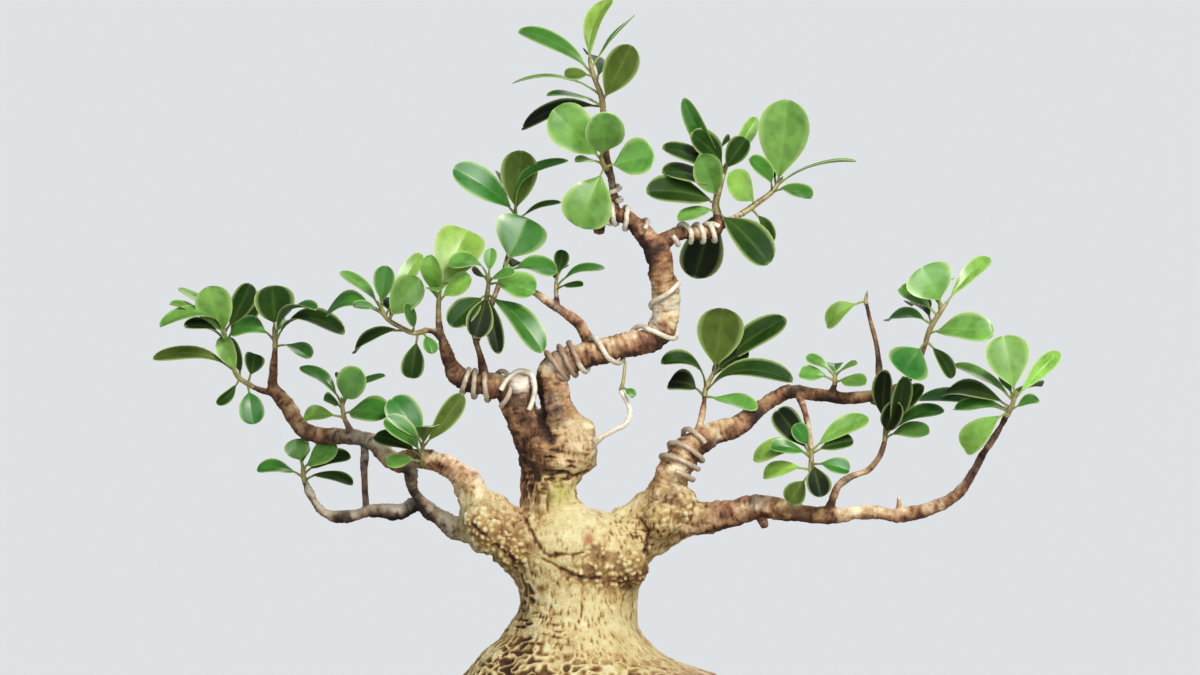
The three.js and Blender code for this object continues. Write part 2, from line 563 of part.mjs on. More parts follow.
// A closed body through rings that run anticlockwise round the way from the first to the last.
// The quads on the sides named in crossed are split along their other diagonal.
function loft(rings, crossed = []) {
  const count = rings[0].length;
  const last = rings.length - 1;
  const at = (ring, side) => ring * count + (side % count);
  const triangles = [];
  for (let ring = 0; ring < last; ring += 1) {
    for (let side = 0; side < count; side += 1) {
      const near = [at(ring, side), at(ring, side + 1)];
      const far = [at(ring + 1, side), at(ring + 1, side + 1)];
      if (crossed.includes(side)) {
        triangles.push(near[0], near[1], far[0], near[1], far[1], far[0]);
      } else {
        triangles.push(near[0], near[1], far[1], near[0], far[1], far[0]);
      }
    }
  }
  for (let side = 1; side < count - 1; side += 1) {
    triangles.push(at(0, 0), at(0, side + 1), at(0, side));
    triangles.push(at(last, 0), at(last, side), at(last, side + 1));
  }
  const geometry = new THREE.BufferGeometry();
  const places = rings.flat().flatMap((point) => point.toArray());
  geometry.setAttribute('position', new THREE.Float32BufferAttribute(places, 3));
  geometry.setIndex(triangles);
  return solidFrom(geometry);
}

// Places, radii and cross directions along the smooth curve through rows of x, y, z, radius, or
// through stations that are already in place.
function stationsAlong(rows, stepsASpan) {
  const points = rows.map((row) => row.point ?? placeOf(row));
  const curve = new THREE.CatmullRomCurve3(points, false, 'centripetal');
  const radii = rows.map((row) => row.radius ?? row[3]);
  const spans = rows.length - 1;
  const count = Math.round(spans * stepsASpan);
  const stations = [];
  let across = FIRST_SIDE;
  for (let step = 0; step <= count; step += 1) {
    const place = step / count;
    const span = Math.min(Math.floor(place * spans), spans - 1);
    const share = place * spans - span;
    const [near, far] = [radii[span], radii[span + 1]];
    const along = curve.getTangent(place);
    across = across.clone().addScaledVector(along, -across.dot(along)).normalize();
    stations.push({
      point: curve.getPoint(place),
      radius: THREE.MathUtils.lerp(near, far, share),
      along,
      across,
      beside: along.clone().cross(across),
    });
  }
  return stations;
}

function ringRound(station, sides, radiusAt) {
  const ring = [];
  for (let side = 0; side < sides; side += 1) {
    const angle = (2 * Math.PI * side) / sides;
    const radius = radiusAt(angle);
    ring.push(station.point.clone()
      .addScaledVector(station.across, radius * Math.cos(angle))
      .addScaledVector(station.beside, radius * Math.sin(angle)));
  }
  return ring;
}

// A round rod along rows of x, y, z, radius, thicker by grow all round and at both ends.
function rod(rows, { sides, stepsASpan, wobble = 0, grow = 0 }) {
  const stations = stationsAlong(rows, stepsASpan);
  stations[0].point.addScaledVector(stations[0].along, -grow);
  const end = stations[stations.length - 1];
  end.point.addScaledVector(end.along, grow);
  const rings = stations.map((station, step) => ringRound(station, sides, (angle) => {
    const swell = Math.sin(SWELL_ALONG * step) + Math.sin(2 * angle + SWELL_TWIST * step);
    return station.radius * (1 + wobble * swell) + grow;
  }));
  return loft(rings);
}

// The tree.

function stemSolid(rows, grow = 0) {
  const thickest = Math.max(...rows.map((row) => row[3]));
  if (thickest <= BRANCH_RADIUS) return rod(rows, { sides: TWIG_SIDES, stepsASpan: 1, grow });
  const sides = thickest > THICK_RADIUS ? THICK_SIDES : BRANCH_SIDES;
  return rod(rows, { sides, stepsASpan: BRANCH_STEPS, wobble: STEM_WOBBLE, grow });
}

function ridgeShare(bearing, height) {
  const nearness = THREE.MathUtils.clamp(1 - height / ROOT_RIDGE_HEIGHT, 0, 1);
  return ROOT_RIDGES.reduce((sum, [middle, strength, halfWidth]) => {
    const turned = Math.abs(bearing - middle);
    const away = Math.min(turned, 360 - turned) / halfWidth;
    return sum + strength * nearness * Math.exp(-away * away);
  }, 0);
}

function trunkSolid(grow = 0) {
  const rings = TRUNK_LEVELS.map(([height, middle, halfWidth, halfDepth], level) => {
    const ring = [];
    for (let side = 0; side < TRUNK_SIDES; side += 1) {
      const angle = (2 * Math.PI * side) / TRUNK_SIDES;
      const ridge = ridgeShare(THREE.MathUtils.radToDeg(angle), height);
      const wobble = TRUNK_WOBBLE * Math.sin(TRUNK_FLUTES * angle + TRUNK_TWIST * level);
      const share = 1 + ridge + wobble;
      ring.push(new THREE.Vector3(
        middle + (halfWidth * share + grow) * Math.cos(angle),
        (halfDepth * share + grow) * Math.sin(angle),
        level === 0 ? height - grow : height,
      ));
    }
    return ring;
  });
  return loft(rings);
}

function burlSolid([x, y, z, radius]) {
  return solidFrom(new THREE.IcosahedronGeometry(radius, 1).translate(x, y, z));
}

const wood = Object.values(STEMS);
const grownWood = join(wood.map((rows) => stemSolid(rows, GAP)));

// Training wire, wound just clear of the bark. A side stem is notched where the wire passes it.

function wireRows({ stem, winding, tail }) {
  const fine = stationsAlong(STEMS[stem], WIRE_FINE_STEPS);
  const rows = [];
  for (let part = 0; part < winding.length - 1; part += 1) {
    const [from, turnsBefore] = winding[part];
    const [to, turnsAfter] = winding[part + 1];
    const steps = Math.ceil((turnsAfter - turnsBefore) * WIRE_STEPS_A_TURN);
    const lastStep = part === winding.length - 2 ? steps : steps - 1;
    for (let step = 0; step <= lastStep; step += 1) {
      const place = THREE.MathUtils.lerp(from, to, step / steps);
      const angle = 2 * Math.PI * THREE.MathUtils.lerp(turnsBefore, turnsAfter, step / steps);
      const station = fine[Math.round(place * WIRE_FINE_STEPS)];
      const reach = station.radius * WIRE_SLACK + WIRE_RADIUS + GAP;
      const point = station.point.clone()
        .addScaledVector(station.across, reach * Math.cos(angle))
        .addScaledVector(station.beside, reach * Math.sin(angle));
      rows.push({ point, radius: WIRE_RADIUS });
    }
  }
  return [...rows, ...tail.map((row) => ({ point: placeOf(row), radius: WIRE_RADIUS }))];
}

function wireSolid(spec, grow = 0) {
  return rod(wireRows(spec), { sides: WIRE_SIDES, stepsASpan: 1, grow });
}

const wireSpecs = Object.entries(WIRES);
const grownWire = join(wireSpecs.map(([, spec]) => wireSolid(spec, GAP)));

function treeSolid() {
  const parts = [trunkSolid(), ...wood.map((rows) => stemSolid(rows)), ...BURLS.map(burlSolid)];
  return mainBody(join(parts).subtract(grownWire));
}

// Leaves.

function facing(turn, tilt) {
  const [turned, tilted] = [turn, tilt].map(THREE.MathUtils.degToRad);
  return new THREE.Vector3(
    Math.sin(turned) * Math.cos(tilted),
    -Math.cos(turned) * Math.cos(tilted),
    Math.sin(tilted),
  );
}

// One leaf: a square petiole that widens into an arched blade. Both faces of the blade are split
// along the same diagonals, so they stay apart.
function leafSolid(root, [, x, y, z, width, turn, tilt, arch]) {
  const tip = placeOf([x, y, z]);
  const chord = tip.clone().sub(root);
  const length = chord.length();
  const ahead = chord.clone().normalize();
  const face = facing(turn, tilt);
  face.addScaledVector(ahead, -face.dot(ahead)).normalize();
  const bend = root.clone()
    .addScaledVector(chord, BEND_PLACE)
    .addScaledVector(face, 2 * arch * length);
  const curve = new THREE.QuadraticBezierCurve3(root, bend, tip);
  const petiole = Math.min(PETIOLE_LENGTH / length, PETIOLE_SHARE);
  const stations = [[0, PETIOLE_HALF, PETIOLE_HALF]];
  const outline = width > LARGE_BLADE_WIDTH ? LARGE_BLADE_OUTLINE : SMALL_BLADE_OUTLINE;
  for (const [share, half] of outline) {
    const place = petiole + (1 - petiole) * share;
    stations.push([place, Math.max((half * width) / 2, PETIOLE_HALF), BLADE_THICKNESS / 2]);
  }
  const rings = stations.map(([place, half, thick]) => {
    const middle = curve.getPoint(place);
    const along = curve.getTangent(place);
    const up = face.clone().addScaledVector(along, -face.dot(along)).normalize();
    const right = along.clone().cross(up);
    const corners = [[-half, thick], [half, thick], [half, -thick], [-half, -thick]];
    return corners.map(([across, above]) => middle.clone()
      .addScaledVector(right, across)
      .addScaledVector(up, above));
  });
  const underside = 2;
  return loft(rings, [underside]);
}

function spraySolid({ stem, shoot, leaves }) {
  const carrier = stationsAlong(STEMS[stem], 1).at(-1);
  const start = carrier.point.clone().addScaledVector(carrier.along, GAP + END_SLACK);
  const rows = [{ point: start, radius: carrier.radius }, ...shoot];
  const stations = stationsAlong(rows, ROOT_STEPS_A_SPAN);
  const stalk = rod(rows, { sides: SHOOT_SIDES, stepsASpan: 1 });
  const blades = leaves.map((leaf) => {
    const place = Math.round(leaf[0] * HIGHEST_ROOT * (stations.length - 1));
    const outward = placeOf(leaf.slice(1)).sub(stations[place].point).normalize();
    return leafSolid(stations[place].point.clone().addScaledVector(outward, ROOT_OFFSET), leaf);
  });
  return mainBody(join([stalk, ...blades]).subtract(grownWood).subtract(grownWire));
}

// Pot, soil and drain screens, measured from the surface that the pot stands on.

function roundedRing(halfLength, halfDepth, corner, height) {
  const ring = [];
  const centres = [[1, 1], [-1, 1], [-1, -1], [1, -1]];
  centres.forEach(([signX, signY], quarter) => {
    for (let point = 0; point < POINTS_A_CORNER; point += 1) {
      const angle = (Math.PI / 2) * (quarter + point / (POINTS_A_CORNER - 1));
      ring.push(new THREE.Vector3(
        signX * (halfLength - corner) + corner * Math.cos(angle),
        signY * (halfDepth - corner) + corner * Math.sin(angle),
        height,
      ));
    }
  });
  return ring;
}

// A body whose outline is the pot's, drawn in by an inset at each height.
function potShaped(levels) {
  return loft(levels.map(([inset, height]) => roundedRing(
    POT_LENGTH / 2 - inset,
    POT_DEPTH / 2 - inset,
    Math.max(POT_CORNER - inset, SMALLEST_CORNER),
    height,
  )));
}

const rimBottom = POT_HEIGHT - RIM_HEIGHT;
const insideFloor = FOOT_HEIGHT + POT_FLOOR;
const insideTop = RIM_OVERHANG + POT_WALL;
const insideBottom = POT_TAPER + POT_WALL;

function blockSolid(length, depth, height, x, y, bottom) {
  return solidFrom(new THREE.BoxGeometry(length, depth, height).translate(x, y, bottom + height / 2));
}

function drainPlaces() {
  return [-DRAIN_SPACING / 2, DRAIN_SPACING / 2];
}

function potSolid() {
  const overlap = 1;
  const body = potShaped([
    [POT_TAPER, FOOT_HEIGHT],
    [RIM_OVERHANG, rimBottom],
    [0, rimBottom + RIM_OVERHANG / 2],
    [0, POT_HEIGHT - overlap],
    [overlap, POT_HEIGHT],
  ]);
  const inside = potShaped([
    [insideBottom, insideFloor],
    [insideTop, rimBottom],
    [insideTop, POT_HEIGHT + overlap],
  ]);
  let pot = body.subtract(inside);
  const through = 4 * POT_FLOOR;
  for (const x of drainPlaces()) {
    const hole = new THREE.CylinderGeometry(DRAIN_RADIUS, DRAIN_RADIUS, through, DRAIN_SIDES);
    pot = pot.subtract(solidFrom(hole.rotateX(Math.PI / 2).translate(x, 0, insideFloor)));
  }
  const footX = POT_LENGTH / 2 - FOOT_INSET - FOOT_LENGTH / 2;
  const footY = POT_DEPTH / 2 - FOOT_INSET - FOOT_DEPTH / 2;
  for (const x of [-footX, footX]) {
    for (const y of [-footY, footY]) {
      pot = pot.add(blockSolid(FOOT_LENGTH, FOOT_DEPTH, FOOT_HEIGHT + overlap, x, y, 0));
    }
  }
  return pot;
}

function screenSolid(x) {
  const bottom = insideFloor + GAP;
  const through = 3 * SCREEN_THICKNESS;
  const below = bottom - SCREEN_THICKNESS;
  const firstHole = (-(SCREEN_HOLES - 1) / 2) * SCREEN_PITCH;
  let plate = blockSolid(SCREEN_SIDE, SCREEN_SIDE, SCREEN_THICKNESS, x, 0, bottom);
  for (let column = 0; column < SCREEN_HOLES; column += 1) {
    for (let row = 0; row < SCREEN_HOLES; row += 1) {
      const holeX = x + firstHole + column * SCREEN_PITCH;
      const holeY = firstHole + row * SCREEN_PITCH;
      plate = plate.subtract(blockSolid(SCREEN_HOLE, SCREEN_HOLE, through, holeX, holeY, below));
    }
  }
  return plate;
}

function soilSolid() {
  const mound = potShaped([
    [insideBottom + GAP, insideFloor + GAP],
    [insideTop + GAP, rimBottom],
    [insideTop + GAP, SOIL_LEVEL - SOIL_FALL],
    ...SOIL_MOUND.map(([inset, drop]) => [insideTop + inset, SOIL_LEVEL - drop]),
  ]);
  const foot = trunkSolid(GAP).translate(-POT_CENTRE_X, 0, SOIL_LEVEL);
  const pockets = drainPlaces().map((x) => blockSolid(
    SCREEN_SIDE + 2 * GAP,
    SCREEN_SIDE + 2 * GAP,
    SCREEN_THICKNESS + 2 * GAP,
    x,
    0,
    insideFloor,
  ));
  return mainBody([foot, ...pockets].reduce((soil, cutter) => soil.subtract(cutter), mound));
}

// The scene graph: a group for the pot and one for the tree, whose origin is the soil line.

function piece(name, solid, finish) {
  const mesh = new THREE.Mesh(geometryFrom(solid), new THREE.MeshStandardMaterial(FINISH[finish]));
  mesh.name = name;
  return mesh;
}

const potGroup = new THREE.Group();
potGroup.add(piece('pot', potSolid(), 'clay'));
potGroup.add(piece('soil', soilSolid(), 'soil'));
potGroup.add(piece('drain_screen_left', screenSolid(drainPlaces()[0]), 'screen'));
potGroup.add(piece('drain_screen_right', screenSolid(drainPlaces()[1]), 'screen'));

const plant = new THREE.Group();
plant.position.set(-POT_CENTRE_X, 0, SOIL_LEVEL);
plant.add(piece('tree', treeSolid(), 'bark'));
for (const [name, spec] of wireSpecs) plant.add(piece(name, mainBody(wireSolid(spec)), 'wire'));
for (const [name, spec] of Object.entries(SPRAYS)) plant.add(piece(name, spraySolid(spec), 'leaf'));

const bonsai = new THREE.Group();
bonsai.add(potGroup, plant);

// The origin is in the middle of the footprint, on the surface.
const box = new THREE.Box3().setFromObject(bonsai);
const middle = box.getCenter(new THREE.Vector3());
bonsai.position.set(-middle.x, -middle.y, -box.min.z);

export default bonsai;
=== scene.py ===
"""A banyan bonsai: its bark, leaves, training wire, soil and pot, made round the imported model.

Tree places are in millimetres from the middle of the tree's foot at the soil line: x to the
right, y to the back, z up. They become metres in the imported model's frame when a mesh is made.
"""

import math
import random

import bpy
import numpy as np
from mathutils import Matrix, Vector
from mathutils.kdtree import KDTree

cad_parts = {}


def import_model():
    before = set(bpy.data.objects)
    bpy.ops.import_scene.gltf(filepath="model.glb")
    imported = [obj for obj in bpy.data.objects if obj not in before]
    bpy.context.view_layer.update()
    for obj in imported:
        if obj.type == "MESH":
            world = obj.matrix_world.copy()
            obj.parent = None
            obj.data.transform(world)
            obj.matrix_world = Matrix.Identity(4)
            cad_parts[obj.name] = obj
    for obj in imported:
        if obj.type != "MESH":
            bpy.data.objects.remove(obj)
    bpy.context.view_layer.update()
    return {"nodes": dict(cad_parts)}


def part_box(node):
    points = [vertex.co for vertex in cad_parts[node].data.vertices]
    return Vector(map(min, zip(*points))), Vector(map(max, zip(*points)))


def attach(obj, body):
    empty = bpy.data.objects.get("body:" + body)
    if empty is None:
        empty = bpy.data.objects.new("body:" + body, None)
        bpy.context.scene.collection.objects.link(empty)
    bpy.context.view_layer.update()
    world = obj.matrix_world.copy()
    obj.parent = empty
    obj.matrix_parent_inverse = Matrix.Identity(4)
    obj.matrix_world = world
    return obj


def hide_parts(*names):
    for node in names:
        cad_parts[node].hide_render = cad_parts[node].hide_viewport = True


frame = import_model()

MM = 0.001
TURN = 2 * math.pi

# Sizes that the pot and the tree share with the solids.
POT_LENGTH = 300
POT_DEPTH = 210
POT_HEIGHT = 60
POT_CORNER = 26
POT_WALL = 8
POT_FLOOR = 9
POT_TAPER = 13
RIM_OVERHANG = 5
RIM_HEIGHT = 13
FOOT_LENGTH = 46
FOOT_DEPTH = 26
FOOT_HEIGHT = 8
FOOT_INSET = 20
DRAIN_RADIUS = 11
DRAIN_SPACING = 150
POT_CENTRE_X = 5
SOIL_LEVEL = 55
# How far the soil has fallen at the wall, and the distances from the wall at which it falls less.
SOIL_FALL = 5
SOIL_MOUND = [[14, 1.6], [34, 0]]

# A leaf's stalk: its length, and the largest share of the leaf that it may take up.
PETIOLE_LENGTH = 5
PETIOLE_SHARE = 0.28
# The place on a shoot of the highest leaf, and how far off the shoot's middle line leaves begin.
HIGHEST_ROOT = 0.93
ROOT_OFFSET = 0.5
# Where along its length a leaf bends.
BEND_PLACE = 0.45
# The way that the first side of a stem faces.
FIRST_SIDE = np.array([0.3, -1, 0.2])
# Steps along each span of a stem.
STEM_STEPS = 9
# How high the ridges of the roots run up the trunk. Its flutes turn a little from level to level.
ROOT_RIDGE_HEIGHT = 44
TRUNK_WOBBLE = 0.02
TRUNK_FLUTES = 3
TRUNK_TWIST = 0.9

# Trunk, level by level: height, middle, half width and half depth.
TRUNK_LEVELS = [
    [-13, 6, 60, 50], [-4, 6.5, 67, 55], [5, 7, 66, 54], [14, 6.5, 60, 50], [19, 1.5, 50, 44],
    [25, -1, 42.5, 38.5], [31, -0.5, 36.5, 34], [38, -1, 32, 31], [44, 0.5, 29.8, 29],
    [50, 1.3, 28.7, 27.5], [57.5, 1.5, 29.5, 27.5], [64.5, 2, 33.5, 28], [70, -0.5, 37.5, 28],
    [76, -1, 44, 27.5], [83, -2, 49, 25], [88, -3, 44, 21], [93, -7, 31, 16], [97, -10, 17, 10],
]

# Root ridges: bearing in degrees, share of the radius they add, half width in degrees.
ROOT_RIDGES = [
    [8, 0.1, 12], [52, 0.07, 13], [98, 0.09, 14], [140, 0.06, 11], [176, 0.1, 12], [214, 0.07, 10],
    [243, 0.09, 9], [272, 0.05, 9], [300, 0.08, 10], [334, 0.07, 10],
]

# Burls and calluses: place and radius.
BURLS = [
    [-46, -8, 92, 10.5], [-42, -13, 84, 10], [-32, -18, 76, 8.5], [50, -4, 97, 12], [43, -10, 91, 10],
    [27, -15, 68, 10.5],
]

# How far regions of the crown stand behind the plane of the trunk: x and z of the middle, how far
# the region reaches, and the depth in its middle.
CROWN_DEPTHS = [
    [-182, 192, 58, 44], [-142, 122, 38, 24], [-102, 208, 34, -30], [-30, 264, 32, 26],
    [12, 318, 55, -30], [108, 268, 46, 30], [82, 176, 32, 24], [185, 200, 46, -36], [230, 155, 44, -50],
    [118, 116, 24, -16],
]

# Woody stems: place and radius along each.
STEMS = {
    "neck": [
        [-6, 0, 72, 20], [-10, 0, 88, 16.5], [-12.5, 0, 100, 14.2], [-12.5, 0, 109, 14.6],
        [-11, 0, 117, 17], [-9, 0, 126, 19.6], [-10, 0, 134, 19.5], [-12, 0, 140, 13], [-13, 0, 144, 5],
    ],
    "left_arm": [
        [-22, 0, 77, 17], [-36, 0, 86, 14.5], [-45, 0, 95, 11.8], [-50, -1, 103, 8.8],
        [-55.5, -1, 111.5, 7], [-62, -1, 117, 5.8], [-70, -1, 120.5, 5], [-80, 0, 122, 4.7],
        [-87, 1, 120, 4.7],
    ],
    "upper_left": [
        [-80, 0, 122, 4.6], [-88, 2, 119.5, 4.6], [-96, 4, 124.5, 4.3], [-102.5, 6, 130, 4.1],
        [-112.5, 7, 132.5, 4], [-122, 8, 132.5, 4.1], [-136.5, 10, 135.5, 4.4], [-146, 13, 149, 4.1],
        [-152.5, 15, 157, 3.1], [-152.5, 15, 164, 2.4], [-151.5, 16, 177.5, 1.5],
    ],
    "far_left_twig": [[-151, 14, 154, 2.2], [-156, 16, 155, 1.7], [-162.5, 18, 157, 1.4]],
    "lower_left": [
        [-42, 8, 82, 8], [-57.5, 14, 86, 5.8], [-67.5, 17, 91, 4.6], [-77.5, 18, 98.5, 3.7],
        [-87.5, 18, 95, 3.6], [-102.5, 17, 95, 3.3], [-115, 17, 92, 3], [-125, 18, 93.5, 2.7],
        [-132.5, 19, 101, 2.2], [-136, 20, 109, 1.6],
    ],
    "hanging_twig": [[-105.5, 7, 129, 2.2], [-106, 11, 115, 1.7], [-105, 16, 97, 2]],
    "gnarled_twig": [[-83, 3, 118, 3.5], [-81, 9, 106, 2.7], [-70, 16, 93, 3]],
    "fan_twig": [[-112.5, 6, 133, 2], [-114, 3, 138, 1.6], [-116, 1, 142, 1.3]],
    "arm_twig": [[-75, -3, 120, 2], [-75.5, -9, 119.5, 1.5]],
    "left_stem": [
        [-18, 0, 126, 11], [-24, 0, 138, 9.6], [-28, 0, 147, 8.8], [-35, -1, 156.5, 6.8],
        [-45.5, -2, 158.5, 5.6], [-53, -2, 160, 5], [-60, -2, 164.5, 4.4], [-64, -3, 174, 3.6],
        [-67, -3, 184, 2.2], [-68, -3, 191, 1.5],
    ],
    "cut_stub": [[-26, -1, 148, 6.5], [-26.5, -4, 157, 5.6], [-27.5, -6, 163, 4.8]],
    "mid_left_twig": [[-66, -3, 181, 2.2], [-70, -3, 185, 1.6], [-74, -2, 186, 1.4]],
    "mid_twig": [
        [-45, -3, 160, 2.6], [-47, -6, 172, 1.8], [-50, -8, 184, 1.5], [-47, -6, 195, 1.3],
        [-44, -5, 202, 1.2],
    ],
    "mid_top_twig": [
        [-49, -6, 181, 1.7], [-43, 2, 196, 1.5], [-37, 8, 212, 1.4], [-32, 8, 228, 1.3],
        [-30.5, 7, 238, 1.2],
    ],
    "right_stem": [
        [-5, 0, 122, 13], [-4, 0, 133, 11.5], [-8.5, 0, 146, 8.8], [-11.5, -1, 157, 7.6],
        [-11.5, -2, 166, 6.8], [0, -3, 172, 6.8], [12.5, -3, 175, 6.3], [25, -3, 178.5, 6.3],
        [37.5, -2, 181.5, 6.6], [45, -1, 189.5, 6.8], [46, 0, 201, 6.7], [44, 1, 211, 6.8],
        [41.5, 1, 223.5, 6.8], [40, 2, 232, 6],
    ],
    "inner_stem": [
        [8, 3, 179, 3.4], [1, 6, 190, 2.9], [-5, 8, 194.5, 2.5], [-12, 8, 199, 2.1], [-20, 8, 204.5, 1.8],
        [-28, 5, 209, 1.5], [-33, 3, 212, 1.3],
    ],
    "inner_twig": [[-9, 8, 197.5, 1.8], [-9.5, 7, 205, 1.2]],
    "left_fork": [
        [39, 1, 229, 5.6], [32.5, 1, 236, 4.5], [27, 2, 241.5, 3.8], [17.5, 3, 244, 3.4],
        [13, 5, 241, 3.2], [11.5, 8, 235, 2.9],
    ],
    "top_stem": [
        [20, 3, 242, 2.7], [19.5, 6, 252, 2.2], [18, 8, 262, 2], [15, 8, 276, 1.9], [14.5, 7, 288, 1.8],
        [14, 5, 297, 1.6],
    ],
    "crown_twig": [[17, 8, 264, 1.8], [15.5, 2, 266.5, 1.5]],
    "right_fork": [
        [41, 2, 228, 5.6], [48.5, 2, 233, 3.9], [55, 2, 234.5, 3.3], [62.5, 2, 234.5, 3.1],
        [71, 2, 236, 3], [71.5, 3, 244, 2.2],
    ],
    "crown_tip_twig": [[71.5, 2, 237, 2.4], [78, 2, 241, 2], [84, 1, 244.5, 1.6]],
    "right_arm": [
        [18, 0, 76, 17], [33, 0, 87, 13.5], [43, 0, 99, 11.5], [47, 0, 109, 8.6], [51.5, 1, 118, 8.2],
        [58, 2, 127.5, 7.4], [70, 3, 134.5, 6], [82.5, 4, 139, 5], [95, 5, 148.5, 4],
        [107.5, 6, 155, 3.6], [122.5, 6, 153.5, 3.2], [137.5, 6, 152, 3], [152.5, 5, 154, 2.7],
        [160, 3, 156.5, 2.2], [165, 1, 160, 1.8], [171, -1, 170, 1.5], [174, -2, 179, 1.3],
    ],
    "right_fan_twig": [[60, 3, 131, 2.2], [63, 7, 140, 1.8], [64.5, 10, 148, 1.5], [65, 12, 152.5, 1.3]],
    "right_small_twig": [[128, 6, 153.5, 2], [130, 4, 159, 1.3]],
    "right_single_twig": [
        [151, 5, 154.5, 2.2], [152, 6, 163, 1.8], [151.5, 7, 171, 1.6], [150, 8, 181, 1.4],
        [147, 8, 192, 1.2], [145.5, 7, 199, 1.1],
    ],
    "right_hanging_twig": [
        [112, 4, 153, 2], [114, -4, 148, 1.6], [116.5, -10, 137, 1.4], [117.5, -12, 126, 1.3],
    ],
    "right_low_arm": [
        [26, 0, 80, 14], [47, -2, 89, 10.5], [62.5, -4, 91.5, 8], [77.5, -6, 94, 7], [92.5, -8, 98, 5.8],
        [107.5, -9, 95, 4.8], [127.5, -9, 93.5, 4.1], [147.5, -8, 95, 3.7], [162.5, -8, 93.5, 3.5],
        [177.5, -7, 97, 3.2], [190, -6, 103.5, 2.8], [197.5, -5, 113.5, 2.3], [202.5, -4, 123.5, 2],
        [210, -3, 136, 1.7], [214, -3, 144, 1.5],
    ],
    "stub_below": [[92, -7, 95, 3.4], [95, -5, 87.5, 2]],
    "thorn": [[162, -8, 95, 1.8], [161.5, -10, 103, 0.9]],
    "right_low_twig": [
        [126, -8, 95, 2.8], [129, -6, 103, 2.1], [131, -4, 108, 1.9], [138, -2, 113, 1.8],
        [146.5, 0, 116, 1.7], [152.5, 2, 123.5, 1.5], [155, 3, 131, 1.4],
    ],
    "bud_twig": [
        [7, -8, 128, 2.6], [13, -12, 132.5, 1.8], [18.5, -14, 135.5, 1.5], [25.5, -15, 139.5, 1.4],
        [27.5, -15, 145, 1.4], [25.5, -15, 151, 1.3], [22.5, -15, 156, 1.2],
    ],
}

